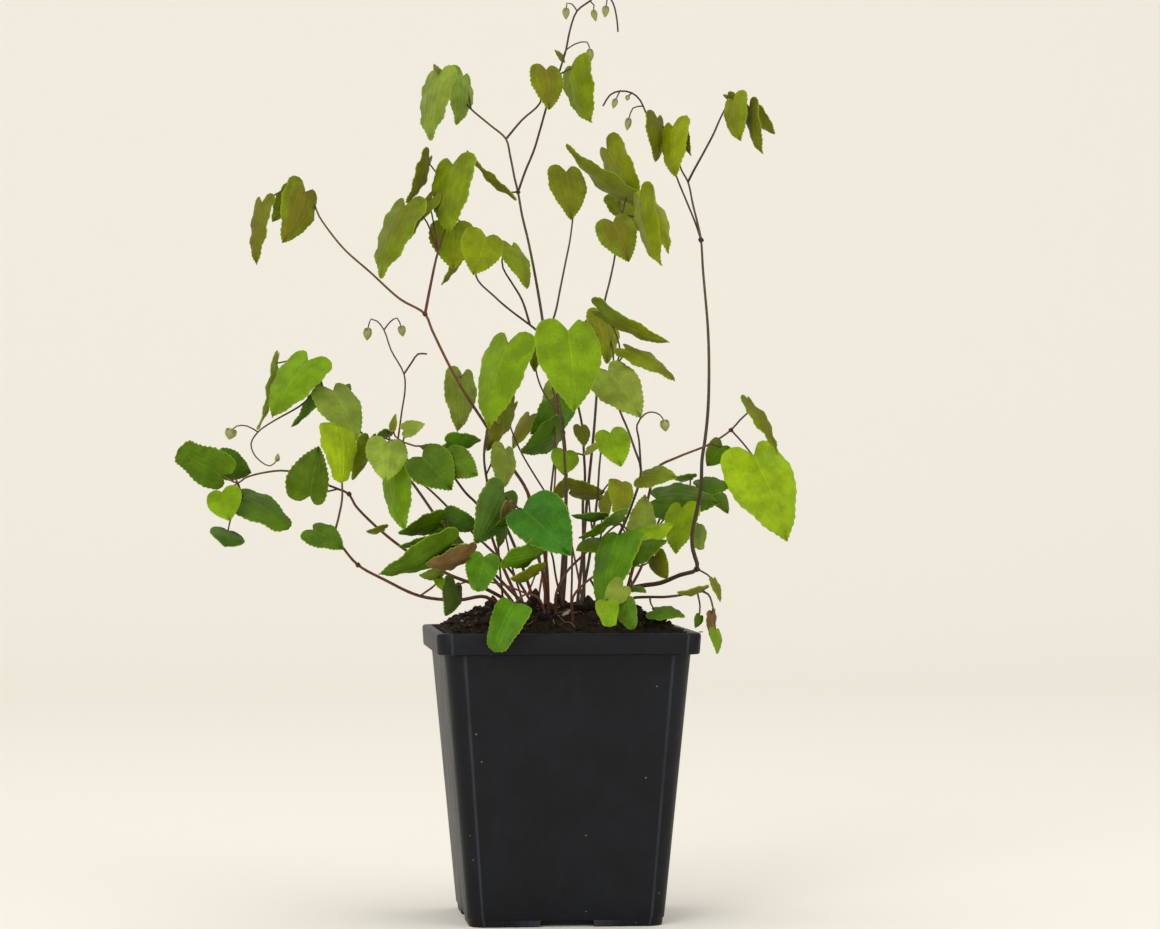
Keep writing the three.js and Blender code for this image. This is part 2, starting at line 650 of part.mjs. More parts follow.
        stalk: [[621, 560, -36], [623, 545, -36]] },
      { base: [627, 557, -30], tip: [667, 541, -30], width: 22, side: 1,
        stalk: [[621, 560, -36]] },
      { base: [655, 556, -22], tip: [668, 579, -26], width: 20, side: -1,
        stalk: [[621, 560, -36], [640, 566, -29]] },
      { base: [623, 586, -50], tip: [604, 606, -53], width: 24, side: 1,
        stalk: [[606, 596, -45], [620, 596, -48]] },
      { base: [607, 601, -60], tip: [610, 627, -63], width: 23, side: 1, lobe: 0.5, blunt: 0.5,
        stalk: [[606, 596, -45], [607, 600, -54]] },
      { base: [624, 603, -50], tip: [634, 629, -54], width: 22, side: -1, blunt: 0.3,
        stalk: [[606, 596, -45], [618, 600, -48]] },
    ],
  },
];
// Places in the view

// The direction to the right of the view, and the direction away from the eye
const RIGHT = new THREE.Vector3(Math.cos(POT_TURN), -Math.sin(POT_TURN), 0);
const AWAY = new THREE.Vector3(Math.sin(POT_TURN), Math.cos(POT_TURN), 0);
const EYE = RIGHT.clone().multiplyScalar(AXIS_OFFSET).addScaledVector(AWAY, -EYE_DISTANCE);
EYE.z = EYE_HEIGHT;

// One picture unit in millimetres, at a depth
function unitAt(depth) {
  return (EYE_DISTANCE + depth) / PICTURE_FOCAL;
}

function place([across, down, depth]) {
  const unit = unitAt(depth);
  const point = RIGHT.clone().multiplyScalar(AXIS_OFFSET + (across - PICTURE_MIDDLE.across) * unit);
  point.addScaledVector(AWAY, depth);
  point.z = EYE_HEIGHT - (down - PICTURE_MIDDLE.down) * unit;
  return point;
}

// Solids

function toSolid(geometry) {
  const bare = geometry.clone();
  bare.deleteAttribute('normal');
  bare.deleteAttribute('uv');
  const merged = mergeVertices(bare, 1e-4);
  return new wasm.Manifold(new wasm.Mesh({
    numProp: 3,
    vertProperties: new Float32Array(merged.attributes.position.array),
    triVerts: new Uint32Array(merged.index.array),
  }));
}

function toGeometry(solid) {
  const mesh = solid.getMesh();
  const geometry = new THREE.BufferGeometry();
  geometry.setAttribute('position', new THREE.Float32BufferAttribute(mesh.vertProperties, 3));
  geometry.setIndex(Array.from(mesh.triVerts));
  geometry.computeVertexNormals();
  return geometry;
}

// The main body of a solid, without the tiny pockets that joins can leave
function largest(solid) {
  return solid.decompose().reduce((a, b) => (a.volume() > b.volume() ? a : b));
}

function meshOf(name, solid, material) {
  const mesh = new THREE.Mesh(toGeometry(solid), material);
  mesh.name = name;
  return mesh;
}

// A closed skin over rings of points that all hold the same number, with a point or a flat cap at each end
function skin(rings) {
  const count = rings[0].length;
  const positions = [];
  const index = [];
  rings.flat().forEach((point) => positions.push(point.x, point.y, point.z));
  for (let level = 0; level < rings.length - 1; level += 1) {
    for (let side = 0; side < count; side += 1) {
      const here = level * count + side;
      const next = level * count + (side + 1) % count;
      index.push(here, next, next + count, here, next + count, here + count);
    }
  }
  const last = (rings.length - 1) * count;
  for (let side = 1; side < count - 1; side += 1) {
    index.push(0, side + 1, side, last, last + side, last + side + 1);
  }
  const geometry = new THREE.BufferGeometry();
  geometry.setAttribute('position', new THREE.Float32BufferAttribute(positions, 3));
  geometry.setIndex(index);
  return geometry;
}

// Pot

// A square with round corners, at one height
function squareRing(width, corner, height) {
  const ring = [];
  const centre = width / 2 - corner;
  for (let quarter = 0; quarter < 4; quarter += 1) {
    for (let step = 0; step <= CORNER_STEPS; step += 1) {
      const angle = (quarter + step / CORNER_STEPS) * Math.PI / 2;
      const middle = (quarter + 0.5) * Math.PI / 2;
      ring.push(new THREE.Vector3(
        Math.sign(Math.cos(middle)) * centre + corner * Math.cos(angle),
        Math.sign(Math.sin(middle)) * centre + corner * Math.sin(angle),
        height,
      ));
    }
  }
  return ring;
}

// The pot's outer width at a height below the rim
function bodyWidth(height) {
  return THREE.MathUtils.lerp(FOOT_WIDTH, BODY_TOP_WIDTH, height / (POT_HEIGHT - RIM_HEIGHT));
}

function bodyCorner(height) {
  return THREE.MathUtils.lerp(FOOT_CORNER, BODY_TOP_CORNER, height / (POT_HEIGHT - RIM_HEIGHT));
}

// The space inside the pot, which the soil fills with a small gap
function insideRing(height, gap) {
  const wall = WALL + gap;
  return squareRing(bodyWidth(height) - 2 * wall, bodyCorner(height) - wall, height);
}

function makePot() {
  const rimFoot = POT_HEIGHT - RIM_HEIGHT;
  const ledgeWidth = bodyWidth(LEDGE_HEIGHT);
  const rings = [
    squareRing(FOOT_WIDTH - 2 * LEDGE_DEPTH, FOOT_CORNER, 0),
    squareRing(ledgeWidth - 2 * LEDGE_DEPTH, FOOT_CORNER, LEDGE_HEIGHT),
    squareRing(ledgeWidth, FOOT_CORNER, LEDGE_HEIGHT + LEDGE_DEPTH),
    squareRing(BODY_TOP_WIDTH, BODY_TOP_CORNER, rimFoot),
    squareRing(RIM_WIDTH - 0.8, RIM_CORNER, rimFoot),
    squareRing(RIM_WIDTH, RIM_CORNER, POT_HEIGHT - 0.8),
    squareRing(RIM_WIDTH - 1, RIM_CORNER - 0.5, POT_HEIGHT),
    squareRing(BODY_TOP_WIDTH - 2 * WALL + 2.4, RIM_CORNER - 1, POT_HEIGHT),
    insideRing(rimFoot - 1, 0),
    insideRing(FLOOR, 0),
  ];
  let pot = toSolid(skin(rings));
  for (let side = 0; side < 4; side += 1) {
    const notch = new THREE.BoxGeometry(NOTCH_WIDTH, NOTCH_DEPTH, 2 * NOTCH_HEIGHT);
    notch.translate(0, (NOTCH_DEPTH - FOOT_WIDTH) / 2 - 1, 0);
    notch.rotateZ(side * Math.PI / 2);
    pot = pot.subtract(toSolid(notch));
  }
  const material = new THREE.MeshStandardMaterial({ color: '#26292d', roughness: 0.55, metalness: 0 });
  return meshOf('pot', pot, material);
}

// Soil

// The height of the soil's surface: a low mound with lumps that fade out at the pot's wall
function soilHeight(x, y) {
  const reach = BODY_TOP_WIDTH / 2 - WALL - CLEARANCE;
  const inward = Math.max(0, 1 - Math.max(Math.abs(x), Math.abs(y)) / reach);
  const rise = 1 - (1 - inward) ** SOIL_STEEPNESS;
  const lumps = Math.sin(x * 0.31 + 1.3) * Math.cos(y * 0.27 - 0.6)
    + 0.6 * Math.sin(x * 0.63 - y * 0.51 + 2.1)
    + 0.4 * Math.cos(x * 0.95 + y * 0.83);
  return SOIL_EDGE_HEIGHT + SOIL_MOUND * rise + SOIL_LUMP * lumps * Math.min(1, inward * 3);
}

// The pot's wall is upright in its top millimetres, so the soil's top cells stay inside its narrowest ring
function makeSoil(roots) {
  const floor = FLOOR + CLEARANCE;
  const topWidth = bodyWidth(SOIL_EDGE_HEIGHT - RIM_HEIGHT) - 2 * (WALL + CLEARANCE);
  const floorWidth = bodyWidth(floor) - 2 * (WALL + CLEARANCE);
  const block = new THREE.BoxGeometry(topWidth, topWidth, 1, SOIL_CELLS, SOIL_CELLS, 1);
  const position = block.attributes.position;
  const corner = bodyCorner(POT_HEIGHT - RIM_HEIGHT) - WALL;
  const inner = topWidth / 2 - corner;
  for (let i = 0; i < position.count; i += 1) {
    let x = position.getX(i);
    let y = position.getY(i);
    const overX = Math.abs(x) - inner;
    const overY = Math.abs(y) - inner;
    if (overX > 0 && overY > 0) {
      const squeeze = Math.max(overX, overY) / Math.hypot(overX, overY);
      x = Math.sign(x) * (inner + overX * squeeze);
      y = Math.sign(y) * (inner + overY * squeeze);
    }
    if (position.getZ(i) > 0) {
      position.setXYZ(i, x, y, soilHeight(x, y));
    } else {
      const taper = floorWidth / topWidth;
      position.setXYZ(i, x * taper, y * taper, floor);
    }
  }
  let soil = toSolid(block);
  roots.forEach(({ foot, radius }) => {
    const hole = new THREE.CylinderGeometry(radius, radius, 2 * ROOT_DEPTH, 4);
    hole.rotateX(Math.PI / 2);
    hole.translate(foot.x, foot.y, foot.z + ROOT_DEPTH - CLEARANCE);
    soil = soil.subtract(toSolid(hole));
  });
  const material = new THREE.MeshStandardMaterial({ color: '#2b1d14', roughness: 0.95, metalness: 0 });
  return meshOf('soil', soil.simplify(SLIVER), material);
}

// Stalks

// A closed tube along a smooth way, thick at its start and thin at its end, with a ring at each given point
// and more between them where they lie far apart
function stalkTube(points, thick, thin, sides) {
  const curve = new THREE.CatmullRomCurve3(points, false, 'centripetal');
  const spans = points.length - 1;
  const shares = [0];
  for (let span = 0; span < spans; span += 1) {
    const steps = Math.ceil(points[span].distanceTo(points[span + 1]) / LONGEST_STEP);
    for (let step = 1; step <= steps; step += 1) {
      shares.push((span + step / steps) / spans);
    }
  }
  const tangents = shares.map((share) => curve.getTangent(share));
  const first = Math.abs(tangents[0].z) < 0.7 ? new THREE.Vector3(0, 0, 1) : new THREE.Vector3(1, 0, 0);
  const normal = new THREE.Vector3().crossVectors(tangents[0], first).normalize();
  const rings = shares.map((share, i) => {
    const centre = curve.getPoint(share);
    const radius = THREE.MathUtils.lerp(thick, thin, share) / 2;
    normal.addScaledVector(tangents[i], -normal.dot(tangents[i])).normalize();
    const binormal = new THREE.Vector3().crossVectors(tangents[i], normal);
    return Array.from({ length: sides }, (_, side) => {
      const angle = side / sides * 2 * Math.PI;
      return centre.clone()
        .addScaledVector(normal, radius * Math.cos(angle))
        .addScaledVector(binormal, radius * Math.sin(angle));
    });
  });
  return skin(rings);
}

function makeKnot({ width, at }) {
  const knot = new THREE.OctahedronGeometry(width / 2, 0);
  const { x, y, z } = place(at);
  return knot.translate(x, y, z);
}

// Leaf blades

// Half of a heart-shaped outline with a drawn-out tip and a few blunt teeth, from the notch at the stalk
// round the lobe to the tip: x is a share of the half width, y a share of the blade's length
// A leaf's skew makes one half wider than the other, its lobe makes the lobes at the stalk shorter, and
// its blunt makes the far end rounder
const HALF_OUTLINE = [
  { x: 0, y: 0, rib: 0.14 },
  { x: 0.36, y: -0.15, rib: 0.14 },
  { x: 0.8, y: -0.11, rib: 0.14 },
  { x: 0.97, y: 0.08, rib: 0.14 },
  { x: 0.96, y: 0.34, rib: 0.14 },
  { x: 0.75, y: 0.57, rib: 0.5 },
  { x: 0.49, y: 0.76, rib: 0.5 },
  { x: 0.19, y: 0.91, rib: 0.5 },
  { x: 0, y: 1, rib: 1 },
];
const SMALL_OUTLINE = [0, 2, 4, 6, 8].map((i) => HALF_OUTLINE[i]);

// The blade's frame in space: along it, across it and out of its upper face. The face looks to the eye
// and is turned about the blade's own length until the blade looks as narrow as it was measured.
function bladeFrame(leaf) {
  const base = place(leaf.base);
  const tip = place(leaf.tip);
  const length = base.distanceTo(tip);
  const seenWidth = leaf.width * unitAt((leaf.base[2] + leaf.tip[2]) / 2);
  const fullest = Math.acos(Math.min(1, seenWidth / (BLADE_ASPECT * length)));
  const turn = THREE.MathUtils.clamp(fullest, LEAST_TURN, MOST_TURN);
  const along = tip.clone().sub(base).normalize();
  const sight = base.clone().sub(EYE).normalize();
  const flat = new THREE.Vector3().crossVectors(sight, along).normalize();
  const facing = new THREE.Vector3().crossVectors(flat, along);
  const signed = leaf.side * turn;
  return {
    base,
    length,
    halfWidth: seenWidth / Math.cos(turn) / 2,
    along,
    across: flat.clone().multiplyScalar(Math.cos(signed)).addScaledVector(facing, Math.sin(signed)),
    out: facing.clone().multiplyScalar(Math.cos(signed)).addScaledVector(flat, -Math.sin(signed)),
  };
}

// How far the blade stands out of its own plane: bulged along, folded down from the rib, waved at the edge
function bladeRise(u, v, { length, halfWidth }) {
  const t = THREE.MathUtils.clamp(v / length, 0, 1);
  const edge = Math.abs(u) / halfWidth;
  return BLADE_BULGE * length * 4 * t * (1 - t)
    + BLADE_FOLD * Math.abs(u)
    + BLADE_WAVE * length * edge * Math.sin(t * 9 + Math.sign(u));
}

function makeBlade(leaf, frame) {
  const outline = frame.length < SMALL_BLADE ? SMALL_OUTLINE : HALF_OUTLINE;
  const spots = [];
  const seen = new Map();
  const spot = (x, y) => {
    const key = `${x} ${y}`;
    if (!seen.has(key)) {
      const side = Math.sign(x);
      const fuller = y > 0 ? side * (leaf.blunt ?? 0) * (1 - Math.abs(x)) * y * y : 0;
      const lean = 1 + side * (leaf.skew ?? 0);
      const lobe = y < 0 ? leaf.lobe ?? 1 : 1;
      seen.set(key, spots.length);
      spots.push([(x + fuller) * lean * frame.halfWidth, y * lobe * frame.length]);
    }
    return seen.get(key);
  };
  const faces = [];
  const border = [];
  [1, -1].forEach((side) => {
    for (let i = 0; i < outline.length - 1; i += 1) {
      const here = outline[i];
      const next = outline[i + 1];
      const corners = [
        [spot(0, here.rib), spot(side * here.x, here.y), spot(side * next.x, next.y)],
        [spot(0, here.rib), spot(side * next.x, next.y), spot(0, next.rib)],
      ];
      corners.filter((face) => new Set(face).size === 3).forEach(([a, b, c]) => {
        faces.push(side > 0 ? [a, b, c] : [a, c, b]);
      });
      border.push(side > 0
        ? [spot(here.x, here.y), spot(next.x, next.y)]
        : [spot(-next.x, next.y), spot(-here.x, here.y)]);
    }
  });
  const positions = [];
  [1, -1].forEach((face) => {
    spots.forEach(([u, v]) => {
      const rise = bladeRise(u, v, frame) + face * BLADE_THICKNESS / 2;
      const point = frame.base.clone()
        .addScaledVector(frame.across, u)
        .addScaledVector(frame.along, v)
        .addScaledVector(frame.out, rise);
      positions.push(point.x, point.y, point.z);
    });
  });
  const under = spots.length;
  const index = [];
  faces.forEach(([a, b, c]) => index.push(a, b, c, a + under, c + under, b + under));
  border.forEach(([a, b]) => index.push(a, a + under, b + under, a, b + under, b));
  const geometry = new THREE.BufferGeometry();
  geometry.setAttribute('position', new THREE.Float32BufferAttribute(positions, 3));
  geometry.setIndex(index);
  return geometry;
}

// Buds

function makeBud(bud) {
  const top = place(bud.top);
  const end = place(bud.end);
  const length = top.distanceTo(end);
  const width = bud.width * unitAt(bud.top[2]);
  const geometry = new THREE.OctahedronGeometry(0.5, 1);
  geometry.scale(width, length, width);
  const turn = new THREE.Quaternion().setFromUnitVectors(
    new THREE.Vector3(0, -1, 0),
    end.clone().sub(top).normalize(),
  );
  geometry.applyQuaternion(turn);
  const middle = top.clone().lerp(end, 0.5);
  return geometry.translate(middle.x, middle.y, middle.z);
}

// Leafy stems

// The straight bit of a stem that stands in the soil
function rootOf(stem) {
  const ground = place([stem.root.across, PICTURE_MIDDLE.down, stem.root.depth]);
  ground.z = soilHeight(ground.x, ground.y);
  const foot = ground.clone();
  foot.z -= ROOT_DEPTH;
  const width = stem.stalks[0].thick * ROOT_SWELL;
  return { ground, foot, width, radius: width / 2 + CLEARANCE * Math.SQRT2 };
}

// A stalk runs on into the first branch, leaf or bud that starts at its end. The rest start on its side.
function makeStem(stem, material) {
  const { ground, foot, width: rootWidth } = rootOf(stem);
  const collar = ground.clone();
  collar.z += 1.5;
  const neck = ground.clone();
  neck.z += 1;
  const tubes = [];
  const grow = (points, start, thin, ends) => {
    const free = tubes.find((tube) => !tube.ended && tube.points.at(-1).distanceTo(points[0]) < 1e-6);
    if (free) {
      free.points.push(...points.slice(1));
      free.thin = thin;
      free.ended = ends;
    } else {
      tubes.push({ points, start, thin, ended: ends });
    }
  };
  stem.stalks.forEach(({ thick: start, thin, way }, i) => {
    const points = way.map(place);
    grow(i === 0 ? [neck, ...points] : points, start, thin, false);
  });
  const hang = (way, target, i) => {
    const width = PETIOLE_WIDTH * (1 + PETIOLE_SPREAD * (i * 7 % 5));
    grow([...way.map(place), target], width, width, true);
  };
  const pieces = [stalkTube([foot, collar], rootWidth, rootWidth, 4)];
  (stem.leaves ?? []).forEach((leaf, i) => {
    const frame = bladeFrame(leaf);
    const target = frame.base.clone().addScaledVector(frame.along, 0.5).addScaledVector(frame.out, -0.15);
    hang(leaf.stalk, target, i);
    pieces.push(makeBlade(leaf, frame));
  });
  (stem.buds ?? []).forEach((bud, i) => {
    hang(bud.stalk, place(bud.top).lerp(place(bud.end), 0.2), i + 2);
    pieces.push(makeBud(bud));
  });
  (stem.knots ?? []).forEach((knot) => pieces.push(makeKnot(knot)));
  tubes.forEach(({ points, start, thin }) => {
    pieces.push(stalkTube(points, start, thin, start > THICK_STALK ? 4 : 3));
  });
  const whole = wasm.Manifold.union(pieces.map(toSolid)).asOriginal().simplify(SLIVER);
  return meshOf(`stem_${stem.name}`, largest(whole), material);
}

const leafGreen = new THREE.MeshStandardMaterial({ color: '#5f8420', roughness: 0.5, metalness: 0 });

const group = new THREE.Group();
group.add(makePot());
group.add(makeSoil(LEAFY_STEMS.map(rootOf)));
LEAFY_STEMS.forEach((stem) => group.add(makeStem(stem, leafGreen)));

export default group;
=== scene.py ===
import itertools
import math
import random
from collections import namedtuple

import bpy
import numpy as np
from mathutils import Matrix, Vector, noise


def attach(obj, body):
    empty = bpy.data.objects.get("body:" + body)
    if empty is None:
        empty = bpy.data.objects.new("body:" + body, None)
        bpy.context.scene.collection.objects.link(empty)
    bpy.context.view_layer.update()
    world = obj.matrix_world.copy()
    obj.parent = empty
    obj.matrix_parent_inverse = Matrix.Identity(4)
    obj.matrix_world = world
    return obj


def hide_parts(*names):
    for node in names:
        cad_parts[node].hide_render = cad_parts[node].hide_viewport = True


# Potted barrenwort: a filled square nursery pot with leafy stems.
# Lengths are in millimetres until a mesh is made.

# The eye of the photograph, level, in front of the pot
EYE_DISTANCE = 1400.0
EYE_HEIGHT = 157.0
PICTURE_FOCAL = 4028.0
PICTURE_WIDTH = 1160.0
PICTURE_MIDDLE = (580.0, 464.5)
AXIS_OFFSET = 7.56
POT_TURN = math.radians(5.6)
SENSOR_WIDTH = 36.0

# Pot
POT_HEIGHT = 100.0
RIM_WIDTH = 90.0
RIM_HEIGHT = 7.2
BODY_TOP_WIDTH = 84.0
FOOT_WIDTH = 67.0
RIM_CORNER = 6.0
BODY_TOP_CORNER = 8.0
FOOT_CORNER = 6.0
CORNER_STEPS = 9
BODY_BANDS = 12
WALL = 1.4
FLOOR = 1.6
LEDGE_HEIGHT = 2.4
LEDGE_DEPTH = 0.4
NOTCH_WIDTH = 18.0
NOTCH_HEIGHT = 2.3
NOTCH_DEPTH = 7.0

# Soil and the loose bits on it
CLEARANCE = 0.3
SOIL_EDGE_HEIGHT = 99.4
SOIL_MOUND = 7.6
SOIL_STEEPNESS = 3.2
SOIL_LUMP = 1.3
SOIL_CELLS = 150
CRUMBS = 1500
LEAST_CRUMB = 0.7
CRUMB_RANGE = 2.4
LARGE_CRUMBS = 26
LARGE_CRUMB = (3, 5.5)
MOSS_BITS = 9
MOSS_SIZE = (0.7, 1.7)
FIBRES = 170
FIBRE_LENGTH = (2.5, 9)
FIBRE_WIDTH = (0.22, 0.4)
FIBRE_END = 0.18

# Blades
BLADE_ASPECT = 0.8
LEAST_TURN = math.radians(9)
MOST_TURN = math.radians(60)
BLADE_FOLD = -0.2
BLADE_BULGE = 0.07
BLADE_WAVE = 0.02
BLADE_RIPPLE = 0.012
BLADE_MIDDLE = 0.42
BLADE_EDGE = 0.24
SMALL_BLADE = 9.0
LEAST_HALF = 0.012
TOOTH = 0.32
TOOTHED_LENGTH = 16
RIB_WIDTH = 0.45
RIB_ABOVE = 0.1
RIB_BELOW = 0.35
VEIN_LANES = 3.0
PLEAT_MOST = 0.16
PLEAT_SHARE = 0.008

# Stalks, which are a little slimmer than in the solids
ROOT_DEPTH = 12.0
NECK = 1
STALK_START = 0.88
STALK_END = 0.8
STALK_WOBBLE = 0.06
STALK_MOTTLE = 0.25
PETIOLE_WIDTH = 0.66
PETIOLE_END = PETIOLE_WIDTH * 0.85
PETIOLE_OVER = 0.6
PETIOLE_UNDER = 0.15
BUD_STALK_WIDTH = PETIOLE_WIDTH * 0.8
BUD_STALK_END = PETIOLE_WIDTH * 0.7
THIN_STALK_WIDTH = (0.8, 0.6)

# How one leaf or stem differs from the next, drawn from one seed
SEED = 5
WHOLE_TURN = 6.28
TOOTH_RANGE = (0.8, 1.25)
RIPPLE_RANGE = (0.6, 1.4)
LEAST_SKEW = 0.05
LIGHT_RANGE = (0.88, 1.12)
RED_RANGE = (0.9, 1.1)
FLUSH_RANGE = (0.5, 1.3)
BASE_TO_TIP = 0.16
PATTERN_REACH = 400
RED_STEMS = 0.35

# Stage, in metres
STAGE_HALF = 4.0
STAGE_FRONT = -2.6
STAGE_TOP = 3.4
BEND_START = 1.4
BEND_RADIUS = 0.9
BEND_STEPS = 12

# Half of a blade's outline: across, along, and where the vein to that point leaves the midrib
HALF_OUTLINE = [
    (0, 0, 0), (0.36, -0.15, 0.02), (0.8, -0.11, 0.05), (0.97, 0.08, 0.1), (0.96, 0.34, 0.2),
    (0.75, 0.57, 0.4), (0.49, 0.76, 0.62), (0.19, 0.91, 0.82), (0, 1, 1),
]

# Leaf colours as red, green and blue of 255, how far each flushes bronze and how clear its main veins are
Tone = namedtuple("Tone", "colour flush ribbed", defaults=(0.0, 0.35))
TONES = {
    "lime": Tone((140, 163, 10)),
    "bright": Tone((105, 140, 2), 0.05),
    "gold": Tone((121, 133, 4)),
    "fresh": Tone((111, 126, 8), 0.2, 0.6),
    "olive": Tone((105, 118, 6), 0.5, 0.7),
    "moss": Tone((101, 107, 12), 0.3, 0.5),
    "mid": Tone((74, 114, 10)),
    "dark": Tone((72, 101, 3)),
    # shade is a darker tone that paints shade on a low leaf sitting in shadow.
    "shade": Tone((46, 64, 10)),
    "deep": Tone((46, 98, 14)),
    "grey": Tone((72, 103, 28)),
    "pale": Tone((124, 142, 46)),
    "dry": Tone((112, 84, 48)),
}
BRONZE = (106, 90, 22)
STEM_BROWN = (70, 48, 36)
STEM_RED = (90, 36, 30)
STEM_GREEN = (100, 96, 44)
BUD_PALE = (140, 144, 78)
BUD_DARK = (74, 58, 34)
POT_BLACK = (32, 34, 39)
PEAT = (44, 34, 25)
CRUMB_BROWNS = [(46, 31, 22), (60, 41, 28), (34, 24, 19), (84, 60, 40), (28, 20, 17), (104, 78, 52)]
STRAW = [(150, 118, 72), (110, 80, 50), (70, 48, 34), (176, 148, 96)]
CHIP_PALE = (190, 184, 166)
STUB_LOW = (34, 24, 20)
STUB_HIGH = (64, 44, 34)
THIN_COLOURS = {"orange": (124, 70, 44), "red": (86, 38, 32)}
PAPER = (245, 241, 231)

# Single things on the soil: across and depth, then sizes in millimetres
PALE_CHIPS = [(566, -25, 4.6), (575, -22, 2.0), (462, -20, 1.8), (612, -31, 1.5)]
MOSS_SPOTS = [(535, -30), (462, -33), (500, -36), (640, -30), (690, -20), (470, 10)]
OLD_STUBS = [
    (589, -14, 8, 4.4), (535, -13, 7, 3.6), (494, -3, 7, 3.4), (606, 2, 5, 3), (558, 6, 5, 3),
    (520, 8, 5, 2.6),
]

# Bare thin stalks among the stems: where each stands on the soil, the points it passes and its colour
THIN_STALKS = [
    ((583, -4), [(578, 575, -2), (571, 540, 4), (566, 500, 12), (565, 456, 18)], "orange"),
    ((571, -22), [(572, 572, -19), (571, 530, -15), (566, 502, -14.5)], "red"),
    ((563, -14), [(556, 578, -18), (551, 552, -26), (538, 536, -35), (526, 527, -40)], "red"),
    ((524, -14), [(513, 570, -13), (503, 522, -13)], "red"),
    ((503, -2), [(500, 570, -5), (497, 535, -10), (491, 500, -14)], "red"),
    ((546, -4), [(540, 560, -5), (533, 520, -4), (527, 493, -3)], "orange"),
    ((538, 6), [(548, 540, 12), (555, 480, 20), (555, 430, 26), (552, 374, 25)], "orange"),
    ((600, 10), [(597, 560, 20), (589, 500, 29), (593, 434, 35)], "red"),
]

# The leafy stems. A point is its place across and down in the picture and its depth behind the pot's axis,
# and a root is its place across and its depth. Widths of blades and buds are in picture units.
# A stalk has its thickness at the start and at the end, and its points. A bud has its top and end, its width
# and its stalk's points. A knot has its width and its place.
# A leaf's side, 1 or -1, says which way it turns, and its skew widens one half.
Stem = namedtuple("Stem", "name root stalks leaves buds knots", defaults=((), (), ()))
Leaf = namedtuple("Leaf", "base tip width side tone stalk skew lobe blunt teeth pleat flush ribbed",
                  defaults=(None, 1, 0, TOOTH, 1.0, None, None))
LEAFY_STEMS = []


def add_stem(name, root, **parts):
    LEAFY_STEMS.append(Stem(name, root, **parts))


add_stem("centre_tall", (560, 14), stalks=[
    (1.7, 1.3, [(563, 560, 15), (566, 500, 17), (565, 450, 19), (559, 405, 22), (552, 370, 25),
        (545, 337, 28)]),
    (1.3, 1.1, [(545, 337, 28), (541, 310, 30), (535, 275, 34), (528, 240, 38), (522, 215, 41),
        (518, 192, 44)]),
    (1.1, 1, [(518, 192, 44), (515, 180, 45), (510, 155, 47), (506, 139, 48)]),
    (1, 0.8, [(506, 139, 48), (490, 125, 46), (471, 109, 45)]),
    (1, 0.8, [(506, 139, 48), (522, 120, 52), (540, 103, 56)]),
    (1, 0.8, [(518, 192, 44), (525, 172, 50), (534, 150, 56), (540, 130, 60), (547, 105, 63), (553, 85, 65),
        (558, 75, 65), (563, 60, 65), (566, 50, 65)]),
    (0.8, 0.8, [(566, 50, 65), (570, 30, 64), (577, 11, 63), (590, 1, 62), (599, -6, 61), (606, -6, 60),
        (613, 3, 59), (617, 20, 58), (618, 32, 58)]),
    (1, 0.8, [(545, 337, 28), (530, 325, 23), (510, 310, 17), (495, 297, 11), (476, 276, 5)]),
    (1, 0.8, [(530, 325, 23), (522, 300, 25), (510, 280, 23), (503, 268, 22)]),
    (1, 0.8, [(545, 337, 28), (550, 328, 32), (556, 310, 39), (560, 290, 45), (565, 265, 50),
        (570, 240, 54), (573, 215, 57)]),
], leaves=[
    Leaf((438, 77, 36), (431, 141, 30), 31, -1, "pale", [(471, 109, 45), (459, 94, 51),
        (446, 83, 44)], ribbed=0.9),
    Leaf((441, 82, 51), (434, 64, 54), 10, 1, "moss", [(459, 94, 50)]),
    Leaf((463, 77, 47), (456, 125, 41), 27, 1, "pale", [(471, 109, 45), (468, 92, 48)], ribbed=0.9),
    Leaf((546, 70, 56), (549, 110, 51), 32, 1, "olive", [(540, 103, 56), (544, 85, 58)]),
    Leaf((572, 66, 63), (592, 123, 56), 33, -1, "gold", [(558, 75, 65)], lobe=0.5),
    Leaf((563, 59, 67), (555, 50, 71), 5, 1, "moss", [(566, 50, 65)]),
    Leaf((509, 194, 42), (467, 150, 38), 7, 1, "moss", [(518, 192, 44)]),
    Leaf((486, 237, 1), (473, 275, -4), 43, 1, "gold", [(476, 276, 5), (481, 255, 4)]),
    Leaf((512, 247, 22), (527, 289, 16), 22, 1, "fresh", [(503, 268, 22), (503, 255, 23)]),
    Leaf((566, 172, 56), (571, 220, 50), 37, 1, "olive", [(573, 215, 57), (574, 190, 59)]),
], buds=[
    ((566, 7, 63), (566, 20, 63), 7, [(577, 11, 63), (572, 4, 63), (567, 3, 63)]),
    ((593, 9, 62), (596, 22, 62), 6, [(590, 1, 62), (594, 5, 62)]),
    ((606, 5, 59), (605, 18, 59), 7, [(606, -6, 60), (607, 0, 59)]),
    ((590, 48, 66), (590, 63, 66), 8, [(566, 50, 65), (575, 44, 66), (587, 42, 66)]),
], knots=[(1.9, (518, 192, 44))])
